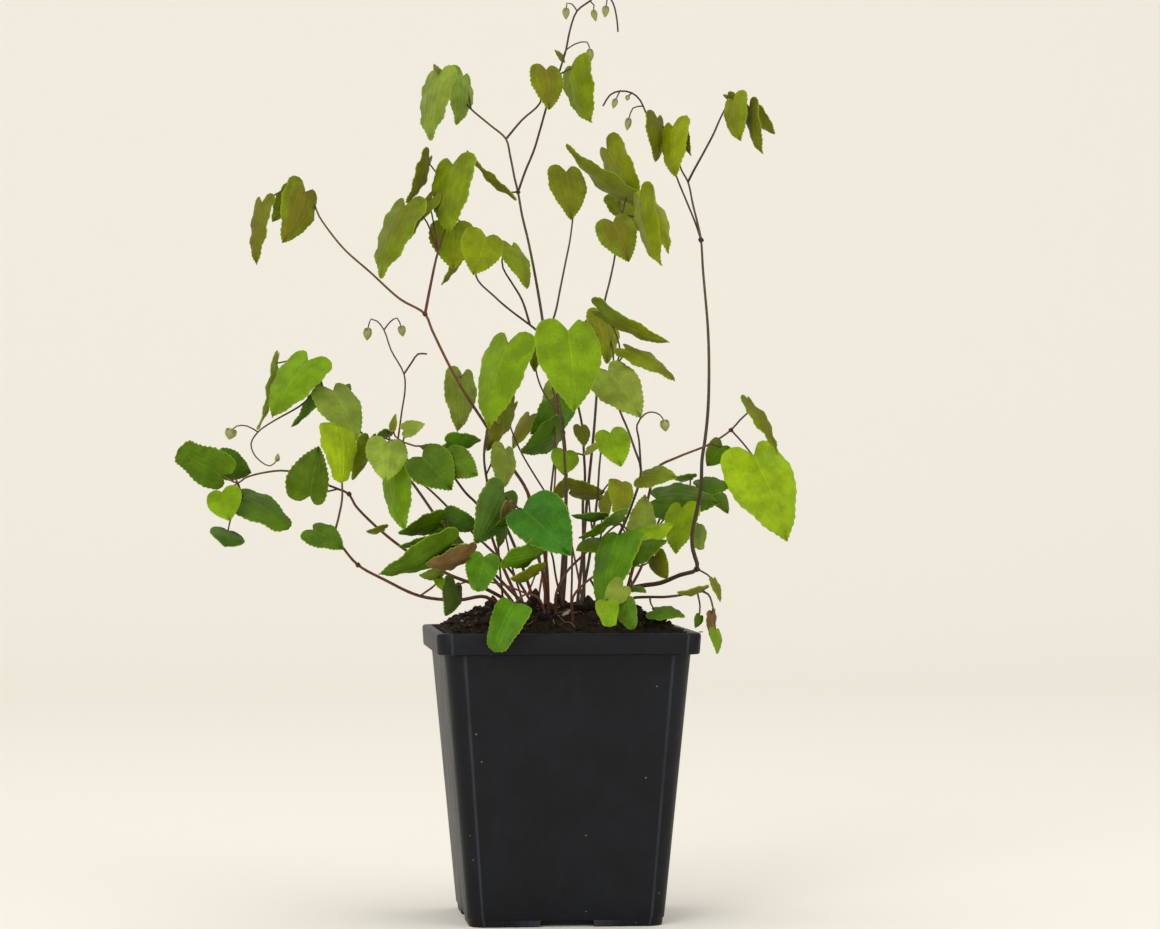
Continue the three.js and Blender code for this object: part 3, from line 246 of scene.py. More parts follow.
add_stem("left_long", (548, 3), stalks=[
    (1.7, 1.3, [(545, 555, 1), (527, 491, -3), (512, 467, -4), (487, 427, -6), (457, 380, -9),
        (432, 330, -11), (425, 314, -12)]),
    (1.2, 0.9, [(425, 314, -12), (400, 299, -14), (370, 272, -18), (345, 250, -21), (330, 232, -23),
        (319, 216, -24)]),
    (1.2, 0.9, [(425, 314, -12), (431, 283, -4), (438, 252, 6), (452, 215, 20)]),
], leaves=[
    Leaf((305, 192, -26), (282, 243, -34), 38, 1, "olive", [(319, 216, -24), (313, 201, -20)]),
    Leaf((294, 190, -15), (272, 222, -11), 20, 1, "fresh", [(313, 201, -20)]),
    Leaf((262, 204, -26), (257, 265, -32), 18, -1, "moss", [(313, 201, -20), (294, 190, -17),
        (276, 194, -22)]),
    Leaf((453, 226, 23), (453, 269, 19), 46, 1, "gold", [(452, 215, 20)]),
    Leaf((453, 165, 15), (450, 234, 7), 41, -1, "fresh", [(452, 215, 20), (455, 185, 20)]),
    Leaf((428, 159, 23), (406, 203, 15), 14, 1, "moss", [(452, 215, 20), (442, 182, 28)]),
    Leaf((405, 207, 3), (381, 279, -4), 34, -1, "fresh", [(438, 252, 6), (424, 218, 11)]),
    Leaf((430, 201, 15), (392, 262, 13), 13, -1, "moss", [(438, 252, 6), (434, 225, 14)]),
    Leaf((462, 251, 30), (441, 285, 28), 9, 1, "moss", [(452, 215, 20), (462, 225, 29), (464, 240, 31)]),
    Leaf((462, 376, 2), (457, 432, 0), 32, 1, "pale", [(457, 380, -9), (459, 376, -3)]),
], knots=[(2, (425, 314, -12))])
add_stem("right_tall", (612, 6), stalks=[
    (2, 1.7, [(621, 592, 6), (640, 586, 6), (660, 583, 6), (680, 575, 5), (697, 569, 4)]),
    (1.5, 1.3, [(697, 569, 4), (693, 550, 3), (692, 535, 3), (697, 510, 4), (701, 487, 6), (702, 460, 10),
        (705, 440, 14), (708, 410, 20), (709, 370, 24), (708, 330, 26), (703, 270, 28), (701, 240, 28)]),
    (1.2, 1, [(701, 240, 28), (698, 225, 28), (693, 205, 27), (688, 182, 26)]),
    (1, 0.8, [(688, 182, 26), (681, 169, 27), (677, 150, 29)]),
    (0.8, 0.8, [(701, 240, 28), (695, 222, 32), (686, 200, 34), (677, 178, 35), (668, 150, 35),
        (660, 132, 34), (648, 117, 32), (640, 100, 31), (632, 93, 30), (620, 91, 29), (610, 95, 28),
        (603, 106, 27)]),
    (1, 0.8, [(688, 182, 26), (693, 172, 25), (704, 152, 22), (714, 133, 19), (720, 119, 17)]),
], leaves=[
    Leaf((673, 127, 21), (676, 177, 15), 27, -1, "gold", [(677, 150, 29)]),
    Leaf((657, 119, 27), (655, 162, 23), 20, 1, "moss", [(677, 150, 29), (665, 130, 31)]),
    Leaf((684, 122, 32), (691, 156, 29), 8, -1, "moss", [(677, 150, 29), (684, 132, 31)]),
    Leaf((733, 101, 9), (741, 141, 3), 25, -1, "olive", [(720, 119, 17), (727, 106, 17)]),
    Leaf((729, 96, 20), (750, 112, 24), 8, -1, "moss", [(727, 106, 17)]),
    Leaf((750, 108, 8), (763, 154, 2), 15, -1, "moss", [(727, 106, 17), (740, 104, 16)]),
    Leaf((754, 111, 17), (775, 134, 20), 14, -1, "fresh", [(740, 104, 16)]),
    Leaf((714, 580, 2), (720, 602, 0), 8, 1, "olive", [(697, 569, 4), (708, 575, 3)]),
], buds=[
    ((628, 95, 30), (627, 101, 30), 5, [(632, 93, 30)]),
    ((629, 117, 32), (627, 131, 32), 7, [(643, 106, 32), (633, 108, 32)]),
    ((616, 98, 28), (613, 109, 28), 6, [(620, 91, 29)]),
], knots=[(2.4, (697, 569, 4)), (2.2, (701, 240, 28))])
add_stem("right_upper", (577, 24), stalks=[
    (1.5, 1.2, [(582, 560, 27), (588, 490, 31), (594, 430, 36), (597, 390, 40), (601, 340, 44),
        (604, 305, 47), (610, 280, 50), (615, 255, 54), (616, 238, 57)]),
    (1, 0.8, [(616, 238, 57), (622, 215, 64), (628, 195, 72)]),
    (0.9, 0.8, [(622, 215, 64), (640, 216, 66)]),
], leaves=[
    Leaf((613, 222, 54), (629, 262, 47), 39, 1, "olive", [(616, 238, 57)]),
    Leaf((632, 200, 71), (566, 144, 63), 19, 1, "fresh", [(628, 195, 72)]),
    Leaf((608, 150, 82), (643, 200, 76), 30, -1, "gold", [(628, 195, 72), (620, 170, 85)]),
    Leaf((619, 197, 87), (640, 232, 81), 28, 1, "fresh", [(622, 215, 64), (619, 205, 82)]),
    Leaf((641, 198, 54), (662, 266, 46), 25, -1, "gold", [(640, 216, 66), (643, 201, 60)]),
    Leaf((650, 199, 63), (668, 254, 57), 20, 1, "gold", [(640, 216, 66), (650, 205, 68)]),
])
add_stem("right_middle", (596, -3), stalks=[
    (1.5, 1.1, [(608, 560, -4), (630, 510, -4), (641, 470, -4), (635, 450, -3), (628, 430, -2),
        (618, 405, 0), (613, 371, 4)]),
    (0.9, 0.8, [(641, 470, -4), (639, 440, -8), (637, 425, -10), (645, 414, -11), (652, 412, -11),
        (660, 415, -11)]),
], leaves=[
    Leaf((608, 371, -4), (641, 418, -12), 45, 1, "pale", [(613, 371, 4)]),
    Leaf((627, 350, 4), (675, 381, -2), 17, 1, "fresh", [(613, 371, 4), (620, 360, 6)]),
    Leaf((601, 311, 12), (670, 342, 3), 17, -1, "fresh", [(613, 371, 4), (620, 350, 12), (612, 325, 15)]),
    Leaf((603, 316, 27), (607, 364, 22), 30, 1, "olive", [(613, 371, 4), (612, 345, 24)]),
    Leaf((583, 324, 31), (580, 362, 27), 24, -1, "olive", [(612, 345, 24), (596, 330, 32)]),
    Leaf((643, 476, -15), (677, 478, -23), 22, 1, "olive", [(641, 470, -4)]),
], buds=[
    ((664, 419, -11), (666, 432, -11), 10, [(660, 415, -11)]),
], knots=[(1.8, (613, 371, 4))])
add_stem("centre_front", (563, -8), stalks=[
    (1.5, 1.1, [(566, 560, -11), (566, 500, -15), (564, 450, -20), (560, 415, -25), (558, 380, -29)]),
], leaves=[
    Leaf((568, 331, -33), (574, 412, -42), 65, 1, "bright", [(558, 380, -29), (563, 355, -31)]),
    Leaf((537, 345, -19), (535, 372, -22), 14, -1, "fresh", [(560, 415, -25), (545, 395, -28),
        (536, 370, -22)]),
    Leaf((553, 385, -20), (543, 401, -22), 14, 1, "pale", [(560, 415, -25)]),
])
add_stem("left_front", (534, -8), stalks=[
    (1.5, 1.1, [(520, 560, -10), (503, 520, -13), (491, 498, -14), (486, 475, -16), (484, 455, -18),
        (487, 432, -20), (497, 400, -20), (505, 370, -20)]),
], leaves=[
    Leaf((508, 344, -22), (489, 429, -28), 47, -1, "bright", [(505, 370, -20)]),
    Leaf((505, 450, -13), (500, 491, -17), 25, 1, "pale", [(486, 475, -16), (496, 456, -14)]),
    Leaf((497, 425, -13), (487, 451, -13), 16, 1, "olive", [(484, 455, -18), (490, 432, -14)]),
])
add_stem("centre_inner", (584, 12), stalks=[
    (1.4, 1, [(584, 560, 13), (583, 500, 14), (585, 480, 14), (584, 455, 14), (582, 425, 15),
        (578, 405, 16)]),
], leaves=[
    Leaf((581, 427, 11), (584, 447, 8), 16, 1, "moss", [(582, 425, 15)]),
    Leaf((565, 452, 7), (563, 475, 2), 28, 1, "bright", [(584, 455, 14), (574, 453, 10)]),
    Leaf((587, 450, 10), (602, 446, 6), 9, 1, "pale", [(584, 455, 14)]),
    Leaf((571, 490, 4), (605, 491, -4), 21, -1, "olive", [(583, 500, 14), (577, 490, 8)]),
    Leaf((566, 487, 7), (550, 499, 3), 14, 1, "moss", [(583, 500, 14), (574, 488, 10)]),
])
add_stem("back_low", (545, 28), stalks=[
    (1.5, 1, [(546, 560, 31), (550, 500, 35), (556, 450, 38), (562, 420, 39)]),
], leaves=[
    # The first two leaves take the lighter mid tone as painted light, for the glow of light shining through
    # leaves at the back.
    Leaf((566, 404, 37), (530, 434, 30), 36, 1, "mid", [(562, 420, 39)]),
    Leaf((560, 430, 29), (520, 452, 22), 28, 1, "mid", [(556, 450, 38)]),
    Leaf((529, 417, 47), (513, 449, 45), 16, -1, "olive", [(556, 450, 38), (540, 425, 46)]),
    Leaf((513, 405, 19), (487, 449, 13), 16, 1, "fresh", [(550, 500, 35), (520, 450, 36), (508, 415, 24)]),
])
add_stem("flower_stalk", (530, 12), stalks=[
    (1.2, 0.9, [(510, 570, 14), (470, 530, 18), (430, 490, 20), (400, 466, 20), (394, 457, 20),
        (397, 445, 20), (402, 410, 20), (405, 390, 20), (404, 374, 20), (391, 350, 20), (384, 330, 20),
        (377, 321, 20), (371, 319, 20)]),
    (0.8, 0.8, [(404, 374, 20), (412, 362, 20), (418, 354, 20), (427, 354, 20)]),
], buds=[
    ((401, 325, 20), (403, 337, 20), 8, [(384, 330, 20), (390, 322, 20), (397, 318, 20)]),
    ((368, 327, 20), (367, 341, 20), 9, [(371, 319, 20)]),
])
add_stem("far_left_high", (514, 16), stalks=[
    (1.5, 1, [(490, 575, 20), (450, 535, 26), (410, 480, 32), (385, 453, 34), (358, 430, 35),
        (345, 418, 36), (332, 402, 36), (323, 388, 36)]),
    (0.8, 0.8, [(323, 388, 36), (300, 406, 32), (272, 422, 27), (258, 432, 24), (251, 444, 22),
        (256, 457, 21), (270, 466, 20)]),
], leaves=[
    Leaf((308, 361, 36), (272, 418, 27), 42, -1, "bright", [(323, 388, 36), (318, 372, 39)]),
    Leaf((276, 362, 47), (257, 430, 43), 9, 1, "pale", [(318, 372, 39), (300, 360, 46)]),
    Leaf((320, 391, 42), (291, 427, 39), 11, 1, "mid", [(323, 388, 36)]),
    Leaf((333, 391, 33), (357, 441, 25), 40, 1, "pale", [(323, 388, 36)]),
    Leaf((338, 397, 38), (350, 384, 44), 14, 1, "dark", [(332, 402, 36)]),
], buds=[
    ((232, 428, 24), (229, 440, 24), 12, [(258, 432, 24), (247, 426, 24), (237, 426, 24)]),
    ((277, 462, 20), (278, 453, 20), 5, [(270, 466, 20)]),
])
add_stem("far_left_middle", (508, 1), stalks=[
    (1.6, 1.2, [(484, 588, -2), (450, 575, -6), (410, 553, -9), (380, 530, -11), (355, 505, -12),
        (349, 494, -12)]),
    (1.2, 0.9, [(349, 494, -12), (338, 489, -12), (325, 484, -12), (288, 471, -13), (262, 473, -16),
        (245, 478, -19), (238, 483, -21)]),
], leaves=[
    Leaf((310, 496, -19), (319, 446, -21), 43, 1, "dark", [(338, 489, -12), (325, 492, -16)], skew=-0.25),
    Leaf((222, 475, -22), (178, 449, -27), 40, 1, "dark", [(238, 483, -21), (230, 480, -22)], blunt=0.6),
    Leaf((222, 462, -14), (251, 473, -6), 31, 1, "dark", [(238, 483, -21), (232, 474, -16)]),
    Leaf((222, 492, -25), (230, 521, -31), 36, -1, "bright", [(238, 483, -21)]),
    Leaf((228, 531, -16), (225, 547, -25), 36, 1, "grey", [(238, 483, -21), (238, 500, -9),
        (231, 518, -10)]),
    Leaf((242, 496, -16), (288, 530, -24), 33, 1, "dark", [(238, 483, -21)], blunt=0.4),
    Leaf((384, 529, -15), (366, 531, -19), 8, 1, "olive", [(380, 530, -11)]),
], knots=[(2, (349, 494, -12))])
add_stem("far_left_low", (504, -8), stalks=[
    (1.6, 1.1, [(486, 597, -12), (458, 600, -17), (420, 596, -21), (385, 580, -24), (358, 565, -26)]),
    (1.1, 0.9, [(358, 565, -26), (344, 549, -27), (335, 535, -28), (338, 520, -28), (342, 500, -28),
        (342, 483, -28), (339, 450, -28)]),
], leaves=[
    Leaf((339, 426, -31), (341, 483, -35), 35, 1, "lime", [(339, 450, -28)], lobe=0.3, blunt=0.35),
    Leaf((313, 530, -32), (343, 550, -39), 28, 1, "dark", [(335, 535, -28), (325, 528, -28)]),
    Leaf((442, 573, -24), (419, 575, -28), 13, 1, "pale", [(420, 596, -21), (436, 584, -22)]),
    Leaf((438, 578, -23), (446, 593, -23), 10, 1, "bright", [(420, 596, -21), (436, 584, -22)]),
], knots=[(2, (358, 565, -26))])
add_stem("left_middle", (520, -16), stalks=[
    (1.5, 1.1, [(500, 560, -20), (480, 508, -26), (465, 492, -29), (448, 468, -33), (443, 461, -34)]),
    (0.9, 0.8, [(443, 461, -34), (435, 447, -32), (415, 446, -30), (403, 442, -28), (390, 440, -27)]),
], leaves=[
    Leaf((447, 458, -36), (478, 476, -41), 34, 1, "dark", [(443, 461, -34)]),
    Leaf((448, 443, -28), (481, 440, -22), 18, -1, "mid", [(443, 461, -34), (444, 448, -30)]),
    Leaf((422, 457, -36), (452, 490, -44), 46, 1, "dark", [(443, 461, -34), (432, 456, -34)]),
    Leaf((438, 452, -30), (420, 446, -28), 12, 1, "dark", [(443, 461, -34)]),
    Leaf((404, 430, -29), (425, 424, -29), 16, 1, "pale", [(403, 442, -28)]),
    Leaf((392, 429, -25), (396, 414, -24), 7, 1, "olive", [(403, 442, -28), (395, 436, -26)]),
    Leaf((388, 443, -31), (385, 482, -37), 42, 1, "pale", [(390, 440, -27)]),
    Leaf((393, 472, -22), (405, 530, -28), 30, -1, "bright", [(403, 442, -28), (400, 455, -22)]),
    Leaf((389, 432, -19), (376, 440, -15), 9, 1, "dark", [(390, 440, -27)]),
    Leaf((369, 440, -21), (352, 480, -18), 18, 1, "fresh", [(390, 440, -27), (380, 437, -24)]),
])
add_stem("front_centre", (549, -20), stalks=[
    (1.5, 1.1, [(545, 580, -25), (535, 550, -33), (525, 525, -41), (518, 508, -46)]),
], leaves=[
    Leaf((523, 509, -48), (571, 556, -58), 58, 1, "deep", [(518, 508, -46)], skew=-0.2, lobe=0.6),
    Leaf((504, 493, -37), (474, 544, -42), 40, 1, "grey", [(525, 525, -41), (516, 505, -36)]),
    Leaf((545, 549, -43), (502, 560, -56), 26, 1, "mid", [(535, 550, -33)], lobe=0.5, blunt=0.5),
    Leaf((503, 526, -34), (498, 548, -34), 12, 1, "grey", [(525, 525, -41), (512, 522, -36)]),
    Leaf((511, 519, -40), (494, 527, -38), 8, 1, "dark", [(525, 525, -41)]),
    Leaf((509, 503, -43), (501, 520, -41), 8, 1, "dry", [(518, 508, -46)]),
])
add_stem("front_left", (530, -25), stalks=[
    (1.5, 1.1, [(510, 590, -32), (490, 570, -38), (465, 550, -42), (448, 535, -44)]),
], leaves=[
    Leaf((450, 545, -54), (378, 574, -58), 28, 1, "dark", [(448, 535, -44), (446, 538, -51)]),
    Leaf((440, 521, -43), (398, 533, -46), 19, 1, "dark", [(448, 535, -44), (444, 524, -43)]),
    Leaf((431, 540, -47), (398, 546, -47), 9, 1, "mid", [(448, 535, -44), (440, 537, -46)]),
    Leaf((446, 517, -41), (480, 528, -36), 24, -1, "grey", [(448, 535, -44)]),
    Leaf((434, 530, -38), (464, 543, -34), 18, 1, "dark", [(465, 550, -42), (452, 541, -39)]),
    Leaf((468, 556, -48), (425, 563, -56), 22, 1, "dry", [(465, 550, -42)]),
    Leaf((484, 557, -46), (478, 592, -52), 33, -1, "mid", [(490, 570, -38), (487, 560, -42)], blunt=0.3),
])
add_stem("front_low", (545, -33), stalks=[
    (1.4, 1, [(540, 600, -38), (528, 594, -45), (520, 598, -51)]),
], leaves=[
    Leaf((514, 603, -54), (494, 652, -56), 35, -1, "mid", [(520, 598, -51)], lobe=0.3, blunt=0.5),
    Leaf((455, 584, -47), (445, 616, -53), 22, 1, "shade", [(528, 594, -45), (500, 584, -44),
        (472, 581, -44)]),
    Leaf((538, 572, -42), (510, 578, -50), 14, 1, "olive", [(528, 594, -45)]),
])
add_stem("far_right", (622, -5), stalks=[
    (1.6, 1.2, [(640, 540, -6), (650, 490, -7), (657, 468, -8), (678, 457, -8), (710, 444, -8),
        (731, 430, -8)]),
    (1, 0.8, [(731, 430, -8), (740, 420, -9), (751, 409, -10)]),
], leaves=[
    Leaf((750, 403, -12), (777, 455, -19), 13, 1, "olive", [(751, 409, -10)]),
    Leaf((754, 456, -11), (787, 542, -18), 65, 1, "lime", [(731, 430, -8), (742, 442, -8)]),
    Leaf((722, 446, -4), (707, 466, 0), 24, -1, "dark", [(710, 444, -8)]),
], knots=[(1.8, (731, 430, -8))])
add_stem("right_back", (618, 18), stalks=[
    (1.5, 1.1, [(640, 570, 24), (655, 530, 30), (668, 505, 35), (690, 490, 38)]),
], leaves=[
    Leaf((657, 499, 28), (720, 504, 22), 36, 1, "dark", [(668, 505, 35), (662, 503, 30)]),
    Leaf((697, 486, 39), (732, 487, 36), 20, 1, "dark", [(690, 490, 38)]),
    Leaf((714, 492, 47), (728, 514, 44), 16, 1, "dark", [(690, 490, 38), (704, 488, 48)]),
    Leaf((682, 508, 17), (676, 554, 11), 33, -1, "lime", [(655, 530, 30), (668, 516, 22)]),
    Leaf((699, 524, 26), (699, 550, 23), 15, 1, "pale", [(655, 530, 30),
        (685, 520, 32)], lobe=0.3, blunt=0.6),
    Leaf((692, 478, 38), (672, 477, 34), 8, 1, "dark", [(690, 490, 38)]),
])
add_stem("right_trailing", (622, -16), stalks=[
    (1.4, 1, [(630, 599, -19), (650, 597, -22), (664, 597, -25), (681, 595, -27), (697, 591, -29),
        (708, 594, -31), (713, 608, -33), (715, 625, -34)]),
], leaves=[
    Leaf((703, 590, -33), (677, 592, -40), 8, 1, "olive", [(708, 594, -31)]),
    Leaf((712, 613, -30), (710, 637, -28), 9, 1, "dry", [(713, 608, -33)]),
    Leaf((716, 631, -35), (717, 654, -37), 11, 1, "bright", [(715, 625, -34)]),
    Leaf((654, 611, -31), (685, 617, -36), 15, 1, "mid", [(650, 597, -22), (651, 604, -28)]),
    Leaf((700, 616, -30), (695, 628, -31), 9, 1, "dark", [(697, 591, -29), (700, 606, -30)]),
])
add_stem("right_front", (580, -16), stalks=[
    (1.5, 1.1, [(589, 560, -13), (597, 500, -17), (600, 460, -20), (604, 436, -23)]),
], leaves=[
    Leaf((610, 433, -25), (621, 467, -31), 34, 1, "bright", [(604, 436, -23)]),
    Leaf((622, 482, -23), (620, 516, -27), 25, 1, "olive", [(597, 500, -17),
        (611, 482, -20)], lobe=0.4, blunt=0.5),
    Leaf((604, 496, -20), (608, 519, -25), 15, -1, "moss", [(597, 500, -17)]),
])
add_stem("right_low", (556, -26), stalks=[
    (1.3, 1, [(556, 594, -29), (566, 573, -27), (578, 560, -23), (600, 540, -19), (620, 524, -20)]),
], leaves=[
    Leaf((641, 541, -15), (645, 494, -10), 30, -1, "pale", [(620, 524, -20), (632, 536, -18)]),
    Leaf((635, 543, -23), (673, 524, -18), 23, 1, "lime", [(620, 524, -20), (628, 536, -22)]),
    Leaf((602, 543, -25), (576, 551, -31), 17, -1, "dark", [(600, 540, -19)]),
    Leaf((609, 524, -29), (578, 538, -33), 9, 1, "dark", [(620, 524, -20), (615, 525, -26)]),
    Leaf((603, 517, -29), (571, 515, -31), 9, 1, "grey", [(600, 540, -19), (602, 528, -26)]),
    Leaf((624, 516, -35), (603, 521, -38), 13, 1, "grey", [(620, 524, -20), (624, 524, -30)]),
])
add_stem("right_front_low", (573, -30), stalks=[
    (1.3, 1, [(573, 597, -33), (590, 579, -36), (606, 569, -36), (621, 560, -36)]),
    (1, 0.9, [(590, 579, -36), (597, 590, -40), (606, 596, -45)]),
], leaves=[
    Leaf((619, 535, -38), (604, 603, -48), 41, -1, "mid", [(621, 560, -36),
        (623, 545, -36)], lobe=0.5, blunt=0.35),
    Leaf((627, 557, -30), (667, 541, -30), 22, 1, "dark", [(621, 560, -36)]),
    Leaf((655, 556, -22), (668, 579, -26), 20, -1, "olive", [(621, 560, -36), (640, 566, -29)]),
    Leaf((623, 586, -50), (604, 606, -53), 24, 1, "pale", [(606, 596, -45), (620, 596, -48)]),
    Leaf((607, 601, -60), (610, 627, -63), 23, 1, "bright", [(606, 596, -45),
        (607, 600, -54)], lobe=0.5, blunt=0.5),
    Leaf((624, 603, -50), (634, 629, -54), 22, -1, "mid", [(606, 596, -45), (618, 600, -48)], blunt=0.3),
    Leaf((631, 587, -36), (646, 593, -41), 9, 1, "dark", [(621, 560, -36), (630, 575, -36)]),
])


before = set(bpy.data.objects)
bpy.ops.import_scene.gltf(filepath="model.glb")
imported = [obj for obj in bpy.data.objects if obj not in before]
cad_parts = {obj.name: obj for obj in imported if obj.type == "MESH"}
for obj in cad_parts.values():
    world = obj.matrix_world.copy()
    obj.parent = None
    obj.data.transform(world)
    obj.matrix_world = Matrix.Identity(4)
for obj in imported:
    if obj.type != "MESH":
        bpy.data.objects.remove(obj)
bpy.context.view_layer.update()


def linear(colour):
    """A colour of 255 as the linear values that a shader takes."""
    shares = [value / 255 for value in colour]
    return tuple(s / 12.92 if s <= 0.04045 else ((s + 0.055) / 1.055) ** 2.4 for s in shares)


def unit_at(depth):
    """Millimetres to one picture unit, at a depth behind the pot's axis."""
    return (EYE_DISTANCE + depth) / PICTURE_FOCAL


def turned(x, y, angle):
    """A flat point turned about the upright axis."""
    return x * math.cos(angle) - y * math.sin(angle), x * math.sin(angle) + y * math.cos(angle)


def in_frame(right, depth, height):
    """A point given across, away from the eye and up, in the pot's own frame."""
    return np.array([*turned(right, depth, -POT_TURN), height])


EYE = in_frame(AXIS_OFFSET, -EYE_DISTANCE, EYE_HEIGHT)


def place(spot):
    """A point of the plan, given by its place in the picture and its depth."""
    across, down, depth = spot
    unit = unit_at(depth)
    right = (across - PICTURE_MIDDLE[0]) * unit + AXIS_OFFSET
    return in_frame(right, depth, EYE_HEIGHT - (down - PICTURE_MIDDLE[1]) * unit)


def places(spots):
    return [place(spot) for spot in spots]


def unit_vector(vector):
    return vector / np.linalg.norm(vector)


def square_to(axis, guide=(0, 0, 1)):
    """Two directions square to an axis and to each other, the first of them square to the guide too."""
    if abs(np.dot(axis, guide)) >= 0.7:
        guide = (1, 0, 0)
    one = unit_vector(np.cross(axis, guide))
    return one, np.cross(axis, one)


def circle(centre, one, two, radius, sides):
    angles = [2 * math.pi * k / sides for k in range(sides)]
    return [centre + one * (radius * math.cos(a)) + two * (radius * math.sin(a)) for a in angles]


def smooth(low, high, value):
    """0 at low, 1 at high, and a smooth slope between."""
    share = np.clip((value - low) / (high - low), 0, 1)
    return share * share * (3 - 2 * share)


def flatten(rows):
    return [point for row in rows for point in row]


# Mesh gathering

class Shell:
    """Gathers closed bodies with their colours and blade coordinates into one mesh."""

    def __init__(self):
        self.layers = {"point": [], "tint": [], "spread": [], "flat": []}
        self.faces = []
        self.kinds = []
        self.count = 0

    # ribbed goes to the tint's alpha: how clear a blade's veins are, and on the pot the corner steps that get
    # a painted highlight line.
    def add(self, points, faces, kind, tint, spread=0.0, flat=None, ribbed=0.0):
        points = np.asarray(points, float)
        total = len(points)
        self.layers["point"].append(points)
        self.layers["tint"].append(np.column_stack([
            np.broadcast_to(tint, (total, 3)), np.broadcast_to(ribbed, total),
        ]))
        self.layers["spread"].append(np.broadcast_to(spread, (total, 3)))
        self.layers["flat"].append(points if flat is None else flat)
        start = self.count
        self.faces.extend([tuple(start + i for i in face) for face in faces])
        self.kinds.extend([kind] * len(faces))
        self.count += total

    def build(self, name, materials, sharp=55):
        whole = {key: np.concatenate(parts) for key, parts in self.layers.items()}
        mesh = bpy.data.meshes.new(name)
        mesh.from_pydata((whole["point"] / 1000).tolist(), [], self.faces)
        mesh.polygons.foreach_set("material_index", self.kinds)
        for key, kind, field in (("tint", "FLOAT_COLOR", "color"), ("spread", "FLOAT_VECTOR", "vector"),
                                 ("flat", "FLOAT_VECTOR", "vector")):
            layer = mesh.attributes.new(key, kind, "POINT")
            layer.data.foreach_set(field, whole[key].astype(np.float32).ravel())
        mesh.shade_smooth()
        mesh.update()
        mesh.set_sharp_from_angle(angle=math.radians(sharp))
        for material in materials:
            mesh.materials.append(material)
        return show(name, mesh)


def show(name, data):
    """A new object of the scene with the data given."""
    thing = bpy.data.objects.new(name, data)
    bpy.context.scene.collection.objects.link(thing)
    return thing


def skin(rings):
    """The faces of a closed body through rings of equal length, capped at both ends."""
    size = len(rings[0])
    last = (len(rings) - 1) * size
    faces = []
    for start in range(0, last, size):
        for k in range(size):
            after = (k + 1) % size
            faces.append((start + k, start + after, start + size + after, start + size + k))
    return faces + [tuple(reversed(range(size))), tuple(range(last, last + size))]


# Blades

Blade = namedtuple("Blade", "base length half_width along across out")


def through(points, share):
    """A point on the smooth curve through the points, at a share of their count."""
    spans = len(points) - 1
    at = min(max(share, 0), 1) * spans
    i = min(int(at), spans - 1)
    t = at - i
    p1, p2 = np.array(points[i:i + 2], float)
    p0 = np.array(points[i - 1], float) if i > 0 else 2 * p1 - p2
    p3 = np.array(points[i + 2], float) if i + 2 <= spans else 2 * p2 - p1
    return 0.5 * (
        2 * p1 + (p2 - p0) * t + (2 * p0 - 5 * p1 + 4 * p2 - p3) * t * t
        + (3 * p1 - p0 - 3 * p2 + p3) * t ** 3
    )


def blade_frame(leaf):
    """A blade's place and directions: turned aside until its width in the picture fits its length."""
    base, tip = places((leaf.base, leaf.tip))
    length = float(np.linalg.norm(tip - base))
    seen_width = leaf.width * unit_at((leaf.base[2] + leaf.tip[2]) / 2)
    fullest = math.acos(min(1, seen_width / (BLADE_ASPECT * length)))
    turn = min(max(fullest, LEAST_TURN), MOST_TURN)
    along = unit_vector(tip - base)
    flat = unit_vector(np.cross(unit_vector(base - EYE), along))
    facing = np.cross(flat, along)
    signed = leaf.side * turn
    across = flat * math.cos(signed) + facing * math.sin(signed)
    out = facing * math.cos(signed) - flat * math.sin(signed)
    return Blade(base, length, seen_width / math.cos(turn) / 2, along, across, out)


def blade_spots(leaf, shape, rows, columns, tooth, skew):
    """The points of a blade laid flat: across, along, the lane from the midrib and how near the edge."""
    outline = [
        (x + leaf.blunt * (1 - x) * y * y if x > 0 and y > 0 else x, y, rib) for x, y, rib in HALF_OUTLINE
    ]
    spots = [(0.0, 0.0, 0.0, 0.0)]
    for row in range(1, rows):
        share = row / rows
        x, y, rib = through(outline, share)
        x = max(x, LEAST_HALF)
        if y < 0:
            y *= leaf.lobe
        peak = (row % 2) * smooth(0.03, 0.2, share) * smooth(1.0, 0.93, share)
        for column in range(-columns, columns + 1):
            side = math.copysign(1, column) if column else 0
            reach = (abs(column) / columns) ** 1.15
            out_x = x * shape.half_width * (1 + side * skew)
            out_y = y * shape.length
            if abs(column) == columns:
                out_x += peak * tooth
                out_y += peak * tooth * 0.55
            u = side * out_x * reach
            v = rib * shape.length * (1 - reach) + out_y * reach
            spots.append((u, v, side * reach, reach))
    spots.append((0.0, shape.length, 0.0, 1.0))
    return np.array(spots)


def blade_faces(rows, columns, total):
    """The faces of a blade's upper and lower sheet and of the edge that joins them."""
    width = 2 * columns + 1

    def at(row, column):
        return 1 + (row - 1) * width + column + columns

    faces = []
    for column in range(-columns, columns):
        patches = [(0, at(1, column + 1), at(1, column))]
        patches.append((at(rows - 1, column), at(rows - 1, column + 1), total - 1))
        for row in range(1, rows - 1):
            a, b = at(row, column), at(row + 1, column)
            patches.append((a, a + 1, b + 1, b))
        for patch in patches:
            faces.append(patch)
            faces.append(tuple(i + total for i in reversed(patch)))
    loop = [0] + [at(row, columns) for row in range(1, rows)] + [total - 1]
    loop += [at(row, -columns) for row in range(rows - 1, 0, -1)]
    for a, b in zip(loop, loop[1:] + loop[:1]):
        faces.append((a, a + total, b + total, b))
    return faces


